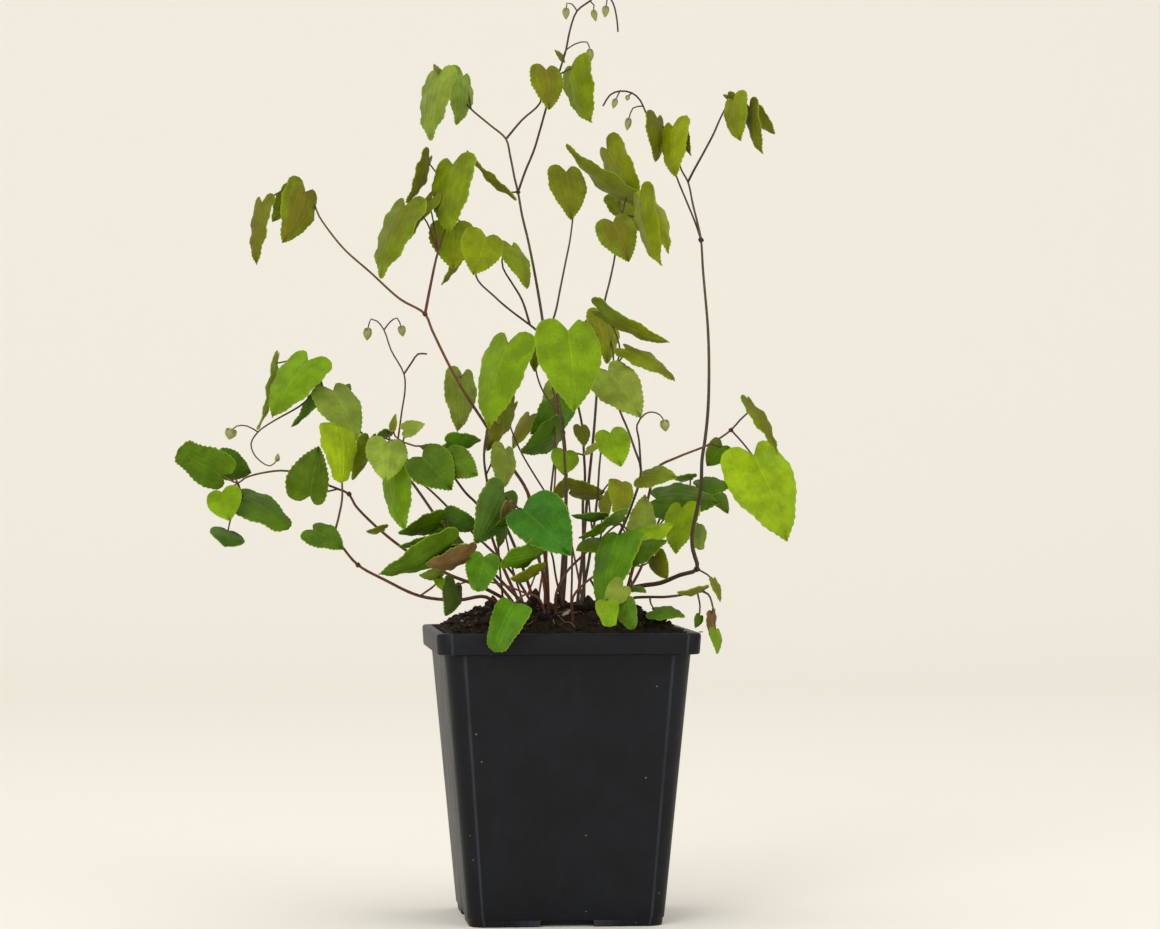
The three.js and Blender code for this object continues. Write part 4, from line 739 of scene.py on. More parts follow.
def add_blade(shell, leaf, dice):
    """A heart-shaped blade with a toothed edge, sunk veins above and a raised rib below."""
    shape = blade_frame(leaf)
    length = shape.length
    rows, columns = (16, 4) if length < SMALL_BLADE else (36, 9)
    tooth = leaf.teeth * min(1, length / TOOTHED_LENGTH) * dice.uniform(*TOOTH_RANGE)
    ripple = dice.uniform(*RIPPLE_RANGE)
    phase = dice.uniform(0, WHOLE_TURN)
    own_skew = dice.uniform(-LEAST_SKEW, LEAST_SKEW)
    skew = own_skew if leaf.skew is None else leaf.skew
    spots = blade_spots(leaf, shape, rows, columns, tooth, skew)
    total = len(spots)
    u, v, lane, edge = spots.T
    t = np.clip(v / length, 0, 1)
    rise = BLADE_BULGE * length * 4 * t * (1 - t) + BLADE_FOLD * np.abs(u)
    rise += BLADE_WAVE * length * np.abs(u) / shape.half_width * np.sin(t * 9 + np.sign(u))
    rise += ripple * BLADE_RIPPLE * length * edge ** 2 * np.sin(t * 21 + phase + 1.7 * np.sign(u))
    pleat = np.cos(2 * math.pi * VEIN_LANES * np.abs(lane)) * smooth(1, 0.75, edge)
    middle = rise - leaf.pleat * min(PLEAT_MOST, PLEAT_SHARE * length) * pleat
    rib_ridge = np.exp(-(u / RIB_WIDTH) ** 2) * smooth(1.0, 0.8, t)
    upper = middle - RIB_ABOVE * rib_ridge
    lower = middle - (BLADE_MIDDLE + (BLADE_EDGE - BLADE_MIDDLE) * edge) - RIB_BELOW * rib_ridge
    sheet = shape.base + np.outer(u, shape.across) + np.outer(v, shape.along)
    points = [sheet + np.outer(height + BLADE_MIDDLE / 2, shape.out) for height in (upper, lower)]
    tone = TONES[leaf.tone]
    tint = np.array(linear(tone.colour)) * dice.uniform(*LIGHT_RANGE)
    tint[0] *= dice.uniform(*RED_RANGE)
    flush = (tone.flush if leaf.flush is None else leaf.flush) * dice.uniform(*FLUSH_RANGE)
    ribbed = tone.ribbed if leaf.ribbed is None else leaf.ribbed
    number = dice.uniform(0, PATTERN_REACH)
    shade = 1 + BASE_TO_TIP * (t - 0.5) * dice.choice((-1, 1))
    spread = np.column_stack([lane, edge, np.full(total, min(1.0, flush))])
    flat = np.column_stack([u, v, np.full(total, number)])
    shell.add(
        np.concatenate(points), blade_faces(rows, columns, total), 0, np.tile(np.outer(shade, tint), (2, 1)),
        np.concatenate([spread, spread + [0, 0, 2]]), np.concatenate([flat, flat + [0, 0, 7]]), ribbed,
    )
    return shape


# Stalks

def curve_points(points, step):
    """Points along a smooth curve through the given ones, about a step apart."""
    ends = [2 * points[0] - points[1], *points, 2 * points[-1] - points[-2]]
    times = [0.0]
    for a, b in zip(ends, ends[1:]):
        times.append(times[-1] + max(1e-3, float(np.linalg.norm(b - a))) ** 0.5)
    out = []
    for i in range(1, len(ends) - 2):
        p0, p1, p2, p3 = ends[i - 1:i + 3]
        t0, t1, t2, t3 = times[i - 1:i + 3]
        parts = max(1, math.ceil(float(np.linalg.norm(p2 - p1)) / step))
        for part in range(parts):
            t = t1 + (t2 - t1) * part / parts
            a1 = (p0 * (t1 - t) + p1 * (t - t0)) / (t1 - t0)
            a2 = (p1 * (t2 - t) + p2 * (t - t1)) / (t2 - t1)
            a3 = (p2 * (t3 - t) + p3 * (t - t2)) / (t3 - t2)
            b1 = (a1 * (t2 - t) + a2 * (t - t0)) / (t2 - t0)
            b2 = (a2 * (t3 - t) + a3 * (t - t1)) / (t3 - t1)
            out.append((b1 * (t2 - t) + b2 * (t - t1)) / (t2 - t1))
    return out + [points[-1]]


def add_tube(shell, points, thick, thin, sides, start_tint, end_tint, step=2.5):
    """A round stalk along a smooth curve, slightly uneven, from one thickness and colour to another."""
    centres = curve_points(points, step)
    last = len(centres) - 1
    tangents = [unit_vector(centres[min(last, i + 1)] - centres[max(0, i - 1)]) for i in range(last + 1)]
    normal = square_to(tangents[0])[0]
    rings = []
    tints = []
    for i, centre in enumerate(centres):
        share = i / last
        normal = unit_vector(normal - tangents[i] * float(normal @ tangents[i]))
        wobble = 1 + STALK_WOBBLE * noise.noise(Vector(centre) * 0.4)
        radius = (thick + (thin - thick) * share) / 2 * wobble
        rings.append(circle(centre, normal, np.cross(tangents[i], normal), radius, sides))
        tint = np.array(start_tint) * (1 - share) + np.array(end_tint) * share
        tints += [tint * (1 + STALK_MOTTLE * noise.noise(Vector(centre) * 0.09 + Vector((7, 3, 1))))] * sides
    shell.add(flatten(rings), skin(rings), 1, tints)


def add_ball(shell, centre, axis, length, width, tints, kind=1, power=1.0, rings=7, sides=8):
    """A drop turned about an axis, from the first tint at its start to the second at its end."""
    axis = unit_vector(axis)
    one, two = square_to(axis)
    rows = []
    shades = []
    for i in range(rings):
        share = (i + 0.35) / (rings - 0.3)
        radius = width / 2 * math.sin(math.pi * share ** power)
        rows.append(circle(centre + axis * (length * (share - 0.5)), one, two, radius, sides))
        shades += [np.array(tints[0]) * (1 - share) + np.array(tints[1]) * share] * sides
    shell.add(flatten(rows), skin(rows), kind, shades)


def add_bud(shell, top, end, width, dice):
    """A hanging flower bud: a pale drop held by four small brown sepals at its top."""
    length = float(np.linalg.norm(end - top))
    axis = unit_vector(end - top)
    pale, dark = linear(BUD_PALE), linear(BUD_DARK)
    add_ball(shell, (top + end) / 2, axis, length, width, (pale, pale), kind=2, power=0.85, rings=9, sides=12)
    one, two = square_to(axis, (0, 1, 0))
    spin = dice.uniform(0, 1.5)
    for k in range(4):
        angle = spin + k * math.pi / 2
        side_way = one * math.cos(angle) + two * math.sin(angle)
        centre = top + axis * (0.3 * length) + side_way * (0.34 * width)
        add_ball(shell, centre, axis + side_way * 0.35, 0.55 * length, 0.42 * width, (dark, pale), kind=2,
                 power=0.8, rings=5, sides=6)


def grow_stem(shell, stem, dice):
    """A leafy stem: stalks run on into the first branch, leaf or bud that starts at their end."""
    across, depth = stem.root
    ground = place((across, PICTURE_MIDDLE[1], depth))
    ground[2] = soil_height(ground[0], ground[1])
    root = [ground - [0, 0, ROOT_DEPTH], ground, ground + [0, 0, NECK]]
    shade = dice.uniform(0.75, 1.15)
    colour = STEM_RED if dice.random() < RED_STEMS else STEM_BROWN
    low = np.array(linear(colour)) * shade
    pale = np.array(linear(STEM_GREEN)) * 0.5 + low * 0.5
    tubes = []

    def grow(points, thick, thin, last, tint):
        run = dict(thin=thin, last=last, tint=tint)
        for tube in tubes:
            if not tube["last"] and np.linalg.norm(tube["points"][-1] - points[0]) < 1e-6:
                tube.update(run, points=tube["points"] + points[1:])
                return
        tubes.append(dict(run, points=points, thick=thick))

    for thick, thin, way in stem.stalks:
        grow(root + places(way), thick * STALK_START, thin * STALK_END, False, low)
        root = []
    for leaf in stem.leaves:
        shape = add_blade(shell, leaf, dice)
        target = shape.base + shape.along * PETIOLE_OVER - shape.out * PETIOLE_UNDER
        grow(places(leaf.stalk) + [target], PETIOLE_WIDTH, PETIOLE_END, True, pale)
    for top_spot, end_spot, width, stalk in stem.buds:
        top, end = places((top_spot, end_spot))
        grow(places(stalk) + [top + (end - top) * 0.2], BUD_STALK_WIDTH, BUD_STALK_END, True, pale)
        add_bud(shell, top, end, width * unit_at(top_spot[2]), dice)
    for width, at in stem.knots:
        add_ball(shell, place(at), np.array([0.3, 0.2, 1.0]), width * 1.05, width, (low * 0.8, low * 0.8))
    for tube in tubes:
        sides = 10 if tube["thick"] > 1.3 else 8
        add_tube(shell, tube["points"], tube["thick"], tube["thin"], sides, low, tube["tint"])


# Materials

class Paint:
    """The nodes of one material. An input given as another node's output is linked, and any other is set."""

    def __init__(self, name):
        self.material = bpy.data.materials.new(name)
        self.material.use_nodes = True
        self.tree = self.material.node_tree
        self.tree.nodes.clear()
        self.shader = self.node("BsdfPrincipled")
        self.node("OutputMaterial", {"Surface": self.shader.outputs["BSDF"]})

    def fill(self, node, inputs):
        for key, value in inputs.items():
            if isinstance(value, bpy.types.NodeSocket):
                self.tree.links.new(value, node.inputs[key])
            else:
                node.inputs[key].default_value = value

    def node(self, kind, inputs=None, **settings):
        node = self.tree.nodes.new("ShaderNode" + kind)
        for key, value in settings.items():
            setattr(node, key, value)
        self.fill(node, inputs or {})
        return node

    def attribute(self, name, output):
        return self.node("Attribute", attribute_name=name).outputs[output]

    def calc(self, operation, *values):
        return self.node("Math", dict(enumerate(values)), operation=operation).outputs[0]

    def times(self, first, second):
        return self.calc("MULTIPLY", first, second)

    def ramp(self, value, low, high, to_low=0.0, to_high=1.0):
        """A smooth step from one value to another."""
        ends = {"Value": value, "From Min": low, "From Max": high, "To Min": to_low, "To Max": to_high}
        return self.node("MapRange", ends, interpolation_type="SMOOTHSTEP").outputs["Result"]

    def blend(self, share, first, second):
        """A colour mix. A plain colour is given in values of 255."""
        first, second = [(*linear(c), 1) if isinstance(c, tuple) else c for c in (first, second)]
        return self.node("Mix", {"Factor": share, 6: first, 7: second}, data_type="RGBA").outputs[2]

    def scaled(self, colour, light):
        """A colour made lighter or darker."""
        return self.node("VectorMath", {0: colour, "Scale": light}, operation="SCALE").outputs[0]

    def noise(self, vector, scale, detail=3.0, rough=0.55):
        inputs = {"Vector": vector, "Scale": scale, "Detail": detail, "Roughness": rough}
        return self.node("TexNoise", inputs).outputs["Fac"]

    def bump(self, height, strength, distance, **before):
        inputs = {"Height": height, "Strength": strength, "Distance": distance, **before}
        return self.node("Bump", inputs).outputs["Normal"]

    def finish(self, colour, roughness, specular, **normal):
        inputs = {"Base Color": colour, "Roughness": roughness, "Specular IOR Level": specular, **normal}
        self.fill(self.shader, inputs)
        return self.material


def leaf_material():
    paint = Paint("leaf_blade")
    flat = paint.attribute("flat", "Vector")
    spread = paint.node("SeparateXYZ", {0: paint.attribute("spread", "Vector")})
    lane, edge, marks = spread.outputs
    under = paint.calc("GREATER_THAN", marks, 1.5)
    flush = paint.calc("SUBTRACT", marks, paint.times(under, 2.0))
    broad = paint.noise(flat, 0.16, 2.0)
    fine = paint.noise(flat, 1.1)
    light = paint.times(paint.ramp(broad, 0.3, 0.7, 0.8, 1.18), paint.ramp(fine, 0.25, 0.75, 0.94, 1.06))
    colour = paint.scaled(paint.attribute("tint", "Color"), light)
    heart = paint.calc("ADD", edge, paint.calc("SUBTRACT", broad, 0.5))
    heart = paint.times(paint.ramp(heart, 0.35, 0.95, 1.0, 0.0), flush)
    colour = paint.blend(heart, colour, BRONZE)
    bend = paint.times(paint.calc("SUBTRACT", fine, 0.5), 0.12)
    apart = paint.calc("PINGPONG", paint.calc("ADD", paint.times(lane, VEIN_LANES), bend), 0.5)
    main = paint.times(paint.ramp(apart, 0.02, 0.1, 1.0, 0.0), paint.ramp(edge, 0.7, 0.97, 1.0, 0.0))
    main = paint.times(main, paint.attribute("tint", "Alpha"))
    rib = paint.ramp(paint.calc("ABSOLUTE", lane), 0.012, 0.04, 0.8, 0.0)
    cells = paint.node("TexVoronoi", {"Vector": flat, "Scale": 0.62}, feature="DISTANCE_TO_EDGE")
    cells = cells.outputs["Distance"]
    net = paint.ramp(cells, 0.015, 0.13, 0.35, 0.0)
    veins = paint.calc("MAXIMUM", paint.calc("MAXIMUM", main, net), rib)
    colour = paint.scaled(colour, paint.ramp(veins, 0.0, 1.0, 0.97, 1.22))
    colour = paint.blend(paint.times(veins, 0.07), colour, (170, 186, 70))
    colour = paint.blend(paint.ramp(edge, 0.95, 1.0, 0.0, 0.45), colour, (144, 168, 24))
    # Paler underside: the blade's own paler back, lightened further as painted light shining through the thin
    # blade.
    colour = paint.blend(under, colour, paint.blend(0.3, colour, (128, 148, 70)))
    gloss = paint.calc("ADD", paint.ramp(fine, 0.3, 0.7, 0.44, 0.54), paint.times(under, 0.2))
    ridge = paint.bump(veins, 0.35, 0.0003, Normal=paint.bump(cells, 0.3, 0.0004))
    return paint.finish(colour, gloss, 0.12, Normal=ridge)


def stalk_material():
    paint = Paint("leaf_stalk")
    flat = paint.attribute("flat", "Vector")
    grain = paint.noise(flat, 0.8, 4.0)
    dots = paint.noise(flat, 3.0, 2.0)
    tint = paint.attribute("tint", "Color")
    colour = paint.blend(paint.ramp(grain, 0.35, 0.75, 0.0, 0.6), tint, (48, 30, 26))
    colour = paint.blend(paint.ramp(dots, 0.62, 0.72, 0.0, 0.35), colour, (170, 140, 96))
    gloss = paint.ramp(grain, 0.3, 0.7, 0.42, 0.6)
    return paint.finish(colour, gloss, 0.25, Normal=paint.bump(grain, 0.3, 0.0002))


def bud_material():
    paint = Paint("flower_bud")
    grain = paint.noise(paint.attribute("flat", "Vector"), 1.4)
    tint = paint.attribute("tint", "Color")
    colour = paint.blend(paint.ramp(grain, 0.4, 0.7, 0.0, 0.45), tint, (132, 140, 70))
    return paint.finish(colour, 0.5, 0.5, Normal=paint.bump(grain, 0.2, 0.0002))


def soil_material():
    paint = Paint("peat")
    flat = paint.attribute("flat", "Vector")
    clump = paint.noise(flat, 0.35, 5.0, 0.7)
    grain = paint.noise(flat, 1.9, 4.0, 0.7)
    colour = paint.blend(paint.ramp(clump, 0.35, 0.68), paint.attribute("tint", "Color"), (26, 19, 14))
    colour = paint.blend(paint.ramp(grain, 0.6, 0.78, 0.0, 0.55), colour, (92, 76, 50))
    gloss = paint.ramp(clump, 0.3, 0.7, 0.75, 0.98)
    return paint.finish(colour, gloss, 0.15, Normal=paint.bump(grain, 0.9, 0.0008))


def pot_material():
    """Black plastic with upright streaks, painted highlight lines down its corners and a few specks of dust.
    """
    paint = Paint("pot_plastic")
    flat = paint.attribute("flat", "Vector")
    upright = paint.node("Mapping", {"Vector": flat, "Scale": (1.0, 1.0, 0.16)}).outputs[0]
    streaks = paint.noise(upright, 0.28, 5.0, 0.65)
    film = paint.ramp(paint.noise(flat, 0.06, 4.0, 0.6), 0.35, 0.7)
    colour = paint.blend(film, (9, 11, 16), (14, 17, 23))
    colour = paint.blend(paint.ramp(streaks, 0.55, 0.8, 0.0, 0.3), colour, (31, 34, 40))
    # Painted highlight: lighter lines down the corners stand for light glinting on their rounding.
    corner_highlight = paint.ramp(paint.attribute("tint", "Alpha"), 0.35, 1.0)
    highlight_line = paint.times(corner_highlight, paint.ramp(streaks, 0.3, 0.6, 0.35, 0.9))
    colour = paint.blend(highlight_line, colour, (46, 49, 56))
    specks = paint.node("TexVoronoi", {"Vector": flat, "Scale": 0.2}).outputs["Distance"]
    shown = paint.ramp(paint.noise(flat, 0.05, 2.0), 0.5, 0.62)
    dust = paint.times(paint.ramp(specks, 0.03, 0.07, 0.8, 0.0), shown)
    colour = paint.blend(dust, colour, (134, 126, 112))
    grit = paint.bump(paint.noise(flat, 3.2, 3.0, 0.6), 0.25, 0.0002)
    return paint.finish(colour, paint.ramp(streaks, 0.35, 0.75, 0.4, 0.56), 0.18, Normal=grit)


# Pot

def square_ring(width, corner, height):
    centre = width / 2 - corner
    ring = []
    for quarter in range(4):
        middle = (quarter + 0.5) * math.pi / 2
        for step in range(CORNER_STEPS + 1):
            angle = (quarter + step / CORNER_STEPS) * math.pi / 2
            ring.append(np.array([
                math.copysign(centre, math.cos(middle)) + corner * math.cos(angle),
                math.copysign(centre, math.sin(middle)) + corner * math.sin(angle),
                height,
            ]))
    return ring


def body_at(height, inset=0.0):
    """The width and the corner of the pot's body at a height, or of a square that the inset draws in."""
    share = height / (POT_HEIGHT - RIM_HEIGHT)
    width = FOOT_WIDTH + (BODY_TOP_WIDTH - FOOT_WIDTH) * share
    corner = FOOT_CORNER + (BODY_TOP_CORNER - FOOT_CORNER) * share
    return width - 2 * inset, corner - inset


def pot_profile():
    """The pot's square rings from under its foot to the rim and down inside: width, corner and height."""
    rim_foot = POT_HEIGHT - RIM_HEIGHT
    foot = FOOT_WIDTH - 2 * LEDGE_DEPTH
    ledge = body_at(LEDGE_HEIGHT)[0]
    lip = BODY_TOP_WIDTH - 2 * WALL + 2.4
    bands = [LEDGE_HEIGHT + (rim_foot - LEDGE_HEIGHT) * step / BODY_BANDS for step in range(1, BODY_BANDS)]
    return [
        (foot - 0.8, FOOT_CORNER - 0.4, 0),
        (foot - 0.2, FOOT_CORNER - 0.1, 0.12),
        (foot, FOOT_CORNER, 0.4),
        (ledge - 2 * LEDGE_DEPTH, FOOT_CORNER, LEDGE_HEIGHT),
        (ledge - 0.2, FOOT_CORNER, LEDGE_HEIGHT + 0.25),
        (ledge, FOOT_CORNER, LEDGE_HEIGHT + LEDGE_DEPTH + 0.2),
        *[(*body_at(height), height) for height in bands],
        (BODY_TOP_WIDTH, BODY_TOP_CORNER, rim_foot - 0.3),
        (BODY_TOP_WIDTH + 0.6, BODY_TOP_CORNER, rim_foot),
        (RIM_WIDTH - 1.6, RIM_CORNER - 0.3, rim_foot),
        (RIM_WIDTH - 0.9, RIM_CORNER, rim_foot + 0.25),
        (RIM_WIDTH - 0.7, RIM_CORNER, rim_foot + 0.8),
        (RIM_WIDTH, RIM_CORNER, POT_HEIGHT - 1.1),
        (RIM_WIDTH - 0.3, RIM_CORNER - 0.15, POT_HEIGHT - 0.35),
        (RIM_WIDTH - 1.2, RIM_CORNER - 0.6, POT_HEIGHT),
        (lip + 0.8, RIM_CORNER - 0.8, POT_HEIGHT),
        (lip, RIM_CORNER - 1, POT_HEIGHT - 0.5),
        *[(*body_at(height, WALL), height) for height in (rim_foot - 1, 60, 30, FLOOR)],
    ]


def cut_notch(pot, side, material):
    """Cuts the drainage notch of one side out of the pot's foot."""
    rows = []
    for height, grow in ((-1, 0.8), (NOTCH_HEIGHT - 0.5, 0.3), (NOTCH_HEIGHT, -0.4)):
        half = NOTCH_WIDTH / 2 + grow * 0.5
        front = -FOOT_WIDTH / 2 - 2
        back = -FOOT_WIDTH / 2 + NOTCH_DEPTH - 1
        corners = ((-half, front), (half, front), (half, back), (-half, back))
        rows.append([np.array([*turned(x, y, side * math.pi / 2), height]) for x, y in corners])
    shell = Shell()
    shell.add(flatten(rows), skin(rows), 0, linear(POT_BLACK))
    cutter = shell.build(f"notch_cutter_{side}", [material])
    cut = pot.modifiers.new("notch", "BOOLEAN")
    cut.operation = "DIFFERENCE"
    cut.solver = "EXACT"
    cut.object = cutter
    bpy.context.view_layer.update()
    evaluated = pot.evaluated_get(bpy.context.evaluated_depsgraph_get())
    finished = bpy.data.meshes.new_from_object(evaluated)
    pot.modifiers.clear()
    pot.data = finished
    bpy.data.objects.remove(cutter)


def make_pot(material):
    rings = [square_ring(*row) for row in pot_profile()]
    points = flatten(rings)
    # Steps near each end of a corner carry a painted highlight line, marked in the tint's alpha.
    highlight_steps = (1, CORNER_STEPS - 1)
    corner_highlight = [1.0 if k % (CORNER_STEPS + 1) in highlight_steps else 0.0 for k in range(len(points))]
    shell = Shell()
    shell.add(points, skin(rings), 0, linear(POT_BLACK), ribbed=corner_highlight)
    pot = shell.build("nursery_pot", [material], sharp=40)
    for side in range(4):
        cut_notch(pot, side, material)
    pot.data.set_sharp_from_angle(angle=math.radians(40))
    return pot


# Soil

def inward_share(x, y):
    """How far a point lies in from the pot's wall: 0 at the wall and 1 at the middle."""
    return max(0.0, 1 - max(abs(x), abs(y)) / (BODY_TOP_WIDTH / 2 - WALL - CLEARANCE))


def soil_height(x, y):
    """The height of the soil's surface: a low mound with lumps that fade out at the pot's wall."""
    inward = inward_share(x, y)
    rise = 1 - (1 - inward) ** SOIL_STEEPNESS
    lumps = (
        math.sin(x * 0.31 + 1.3) * math.cos(y * 0.27 - 0.6)
        + 0.6 * math.sin(x * 0.63 - y * 0.51 + 2.1)
        + 0.4 * math.cos(x * 0.95 + y * 0.83)
    )
    return SOIL_EDGE_HEIGHT + SOIL_MOUND * rise + SOIL_LUMP * lumps * min(1, inward * 3)


def on_relief(x, y, lift=0.0):
    """A point above the soil's surface with its crumbs' roughness, flattened at the edge."""
    spot = Vector((x, y, 0))
    rough = 0.9 * noise.fractal(spot * 0.22, 1.0, 2.1, 4)
    rough += 0.55 * noise.fractal(spot * 0.9 + Vector((5, 9, 2)), 1.0, 2.0, 3)
    height = soil_height(x, y) + rough * min(1, inward_share(x, y) * 10 + 0.15)
    return np.array([x, y, height + lift])


def on_soil(across, depth, lift=0.0):
    """A point above the soil's surface, given by its place across the picture and its depth."""
    return on_relief(*place((across, PICTURE_MIDDLE[1], depth))[:2], lift)


def make_soil(material):
    """The block of peat: a rough top drawn in at the corners, and walls that taper to a flat floor."""
    top_width = body_at(SOIL_EDGE_HEIGHT - RIM_HEIGHT, WALL + CLEARANCE)[0]
    inner = top_width / 2 - (BODY_TOP_CORNER - WALL)
    floor = FLOOR + CLEARANCE
    taper = body_at(floor, WALL + CLEARANCE)[0] / top_width
    cells = SOIL_CELLS
    width = cells + 1
    points = []
    for j in range(width):
        for i in range(width):
            x = (i / cells - 0.5) * top_width
            y = (j / cells - 0.5) * top_width
            over_x, over_y = abs(x) - inner, abs(y) - inner
            if over_x > 0 and over_y > 0:
                squeeze = max(over_x, over_y) / math.hypot(over_x, over_y)
                x = math.copysign(inner + over_x * squeeze, x)
                y = math.copysign(inner + over_y * squeeze, y)
            points.append(on_relief(x, y))
    starts = [j * width + i for j in range(cells) for i in range(cells)]
    faces = [(a, a + 1, a + width + 1, a + width) for a in starts]
    loop = list(range(cells))
    loop += [j * width + cells for j in range(cells)]
    loop += [cells * width + i for i in range(cells, 0, -1)]
    loop += [j * width for j in range(cells, 0, -1)]
    start = len(points)
    points += [np.array([points[i][0] * taper, points[i][1] * taper, floor]) for i in loop]
    size = len(loop)
    for k in range(size):
        after = (k + 1) % size
        faces.append((loop[k], start + k, start + after, loop[after]))
    faces.append(tuple(start + k for k in reversed(range(size))))
    shell = Shell()
    shell.add(points, faces, 0, linear(PEAT))
    return shell.build("peat_block", [material])


def icosahedron():
    """The corners of an icosahedron, and its faces as their nearest triples, turned outward."""
    golden = (1 + 5 ** 0.5) / 2
    corners = []
    for a, b in ((1, golden), (-1, golden), (1, -golden), (-1, -golden)):
        corners += [(0, a, b), (a, b, 0), (b, 0, a)]
    corners = np.array(corners, float)
    faces = []
    for i, j, k in itertools.combinations(range(12), 3):
        gaps = [np.linalg.norm(corners[a] - corners[b]) for a, b in ((i, j), (j, k), (i, k))]
        if max(gaps) < 2.1:
            normal = np.cross(corners[j] - corners[i], corners[k] - corners[i])
            faces.append((i, j, k) if normal @ (corners[i] + corners[j] + corners[k]) > 0 else (i, k, j))
    return corners / math.hypot(1, golden), faces


ICO_CORNERS, ICO_FACES = icosahedron()


def add_chunk(shell, centre, size, colour, dice, squash=0.6):
    """An irregular closed crumb: a rough icosahedron."""
    stretch = np.array([dice.uniform(0.6, 1.5), dice.uniform(0.6, 1.2), squash * dice.uniform(0.6, 1.1)])
    body = ICO_CORNERS * stretch * size / 2
    body *= np.array([[dice.uniform(0.7, 1.25)] for _ in ICO_CORNERS])
    turn = dice.uniform(0, WHOLE_TURN)
    tilt = dice.uniform(-0.6, 0.6)
    rows = np.array([
        [math.cos(turn), -math.sin(turn) * math.cos(tilt), math.sin(turn) * math.sin(tilt)],
        [math.sin(turn), math.cos(turn) * math.cos(tilt), -math.cos(turn) * math.sin(tilt)],
        [0, math.sin(tilt), math.cos(tilt)],
    ])
    shell.add(body @ rows.T + centre, ICO_FACES, 0, linear(colour))


def make_crumbs(material, dice):
    """Crumbs and larger lumps of peat, pale chips, spots of moss and the stubs of old stalks."""
    shell = Shell()
    reach = BODY_TOP_WIDTH / 2 - WALL - 2.2
    for _ in range(CRUMBS):
        x, y = dice.uniform(-reach, reach), dice.uniform(-reach, reach)
        size = LEAST_CRUMB + CRUMB_RANGE * dice.random() ** 3
        brown = CRUMB_BROWNS[min(5, int(dice.random() ** 1.5 * 6))]
        add_chunk(shell, on_relief(x, y, size * 0.12), size, brown, dice)
    for _ in range(LARGE_CRUMBS):
        x, y = dice.uniform(-reach + 4, reach - 4), dice.uniform(-reach + 4, reach - 4)
        size = dice.uniform(*LARGE_CRUMB)
        brown = CRUMB_BROWNS[dice.choice((0, 1, 2, 4))]
        add_chunk(shell, on_relief(x, y, size * 0.18), size, brown, dice, 0.8)
    for across, depth, size in PALE_CHIPS:
        add_chunk(shell, on_soil(across, depth, 0.3), size, CHIP_PALE, dice, 0.4)
    for across, depth in MOSS_SPOTS:
        for _ in range(MOSS_BITS):
            centre = on_soil(across + dice.gauss(0, 6), depth + dice.gauss(0, 1.6), 0.2)
            green = (dice.randint(62, 104), dice.randint(84, 112), 24)
            add_chunk(shell, centre, dice.uniform(*MOSS_SIZE), green, dice)
    for across, depth, height, width in OLD_STUBS:
        lean = np.array([dice.uniform(-0.2, 0.2), dice.uniform(-0.2, 0.2), 1.0])
        tints = (linear(STUB_LOW), linear(STUB_HIGH))
        add_ball(shell, on_soil(across, depth, height * 0.3), lean, height, width, tints, kind=0)
    return shell.build("peat_crumbs", [material])


def make_fibres(material, dice):
    """Bits of straw that lie on the soil, each of four points."""
    shell = Shell()
    reach = BODY_TOP_WIDTH / 2 - WALL - 5
    for _ in range(FIBRES):
        x, y = dice.uniform(-reach, reach), dice.uniform(-reach, reach)
        turn = dice.uniform(0, WHOLE_TURN)
        length = dice.uniform(*FIBRE_LENGTH)
        points = []
        for step in range(4):
            along = (step / 3 - 0.5) * length
            px = x + math.cos(turn) * along + dice.uniform(-0.4, 0.4)
            py = y + math.sin(turn) * along + dice.uniform(-0.4, 0.4)
            points.append(on_relief(px, py, 0.3))
        tint = linear(STRAW[dice.randrange(4)])
        add_tube(shell, points, dice.uniform(*FIBRE_WIDTH), FIBRE_END, 4, tint, tint, 2.0)
    return shell.build("straw_bits", [material])


def make_thin_stalks(material):
    shell = Shell()
    for (across, depth), way, colour in THIN_STALKS:
        points = [on_soil(across, depth, -2), on_soil(across, depth, 0.8)] + places(way)
        tint = linear(THIN_COLOURS[colour])
        add_tube(shell, points, *THIN_STALK_WIDTH, 8, tint, tint)
    return shell.build("thin_stalks", [material])


def make_all():
    dice = random.Random(SEED)
    blade, stalk, bud = leaf_material(), stalk_material(), bud_material()
    peat = soil_material()
    for stem in LEAFY_STEMS:
        shell = Shell()
        grow_stem(shell, stem, dice)
        piece = shell.build("leafy_" + stem.name, [blade, stalk, bud])
        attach(piece, "root")
        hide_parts("stem_" + stem.name)
    pot = make_pot(pot_material())
    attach(pot, "root")
    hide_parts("pot")
    soil = make_soil(peat)
    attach(soil, "root")
    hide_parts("soil")
    for piece in (make_crumbs(peat, dice), make_fibres(stalk, dice), make_thin_stalks(stalk)):
        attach(piece, "root")


# Stage

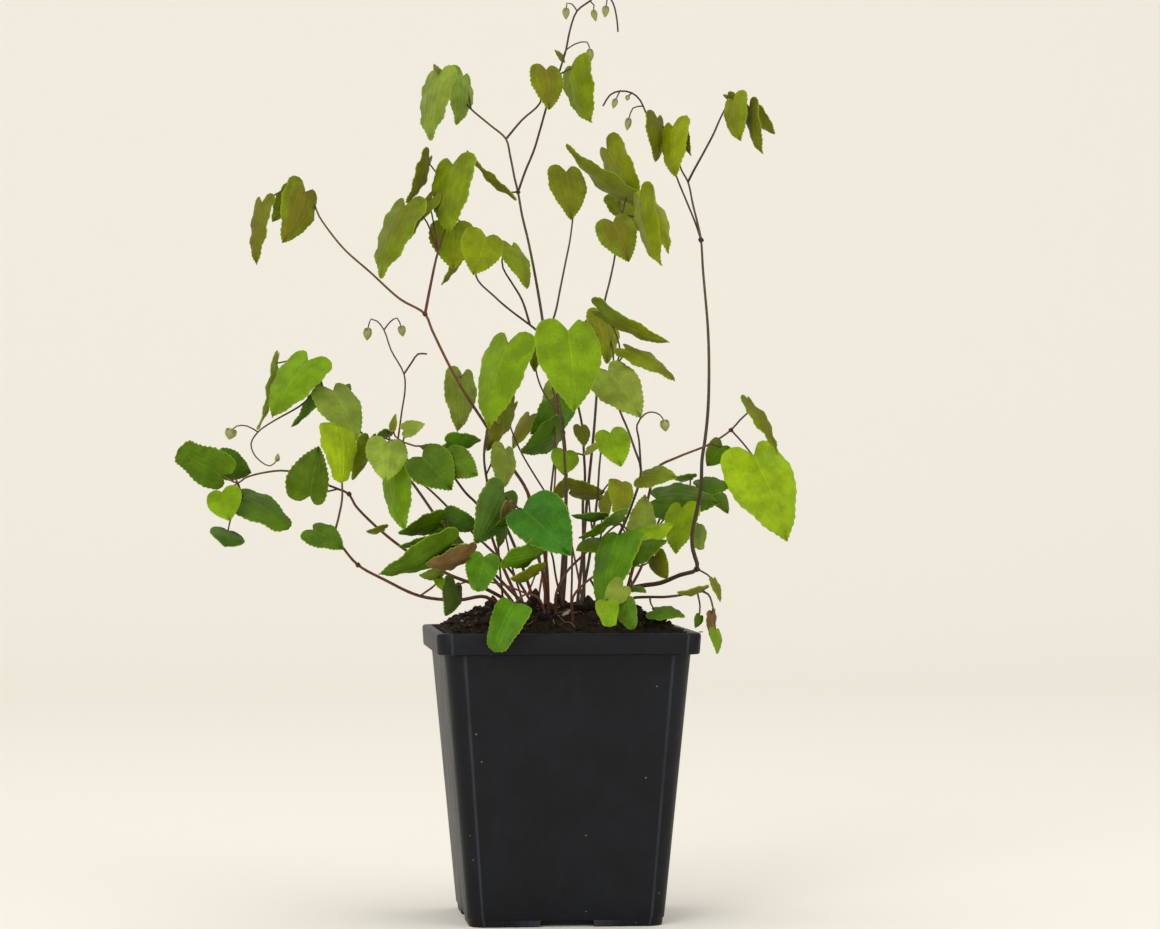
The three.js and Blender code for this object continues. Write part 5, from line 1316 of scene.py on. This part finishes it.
def make_stage():
    """One seamless sheet: pale floor that curves up behind into a wall."""
    profile = [(STAGE_FRONT, 0.0), (BEND_START, 0.0)]
    for step in range(1, BEND_STEPS + 1):
        angle = math.pi / 2 * step / BEND_STEPS
        y, z = turned(0, -BEND_RADIUS, angle)
        profile.append((BEND_START + y, BEND_RADIUS + z))
    profile.append((BEND_START + BEND_RADIUS, STAGE_TOP))
    size = len(profile)
    mesh = bpy.data.meshes.new("backdrop")
    mesh.from_pydata(
        [(x, y, z) for x in (-STAGE_HALF, STAGE_HALF) for y, z in profile], [],
        [(i, i + size, i + size + 1, i + 1) for i in range(size - 1)],
    )
    mesh.shade_smooth()
    paper = Paint("backdrop_paper").finish((*linear(PAPER), 1), 0.95, 0.1)
    mesh.materials.append(paper)
    show("backdrop", mesh)


def add_light(name, place_at, aim, size, power):
    lamp = bpy.data.lights.new(name, "AREA")
    lamp.shape = "RECTANGLE"
    lamp.size = lamp.size_y = size
    lamp.energy = power
    lamp.color = (1.0, 0.99, 0.97)
    holder = show(name, lamp)
    holder.location = place_at
    holder.rotation_euler = (Vector(aim) - Vector(place_at)).to_track_quat("-Z", "Y").to_euler()


def make_light():
    bpy.context.scene.view_settings.view_transform = "Standard"
    world = bpy.data.worlds.new("studio")
    world.use_nodes = True
    sky = world.node_tree.nodes["Background"].inputs
    sky["Color"].default_value = (1.0, 0.995, 0.983, 1)
    sky["Strength"].default_value = 0.855
    bpy.context.scene.world = world
    add_light("key", (-0.9, -1.7, 0.8), (0, 0, 0.2), 0.8, 13)
    add_light("fill", (1.2, -1.5, 0.5), (0, 0, 0.15), 1.0, 5)
    add_light("top", (0.1, 0.3, 1.5), (0, 0, 0.2), 0.8, 2)


def make_camera():
    lens = bpy.data.cameras.new("photo_camera")
    lens.sensor_width = SENSOR_WIDTH
    lens.lens = PICTURE_FOCAL / PICTURE_WIDTH * SENSOR_WIDTH
    lens.clip_start = 0.05
    lens.clip_end = 20
    camera = show("photo_camera", lens)
    camera.location = Vector(EYE) / 1000
    camera.rotation_euler = (math.pi / 2, 0, -POT_TURN)
    bpy.context.scene.camera = camera


make_camera()
make_all()
make_stage()
make_light()
bpy.context.view_layer.update()
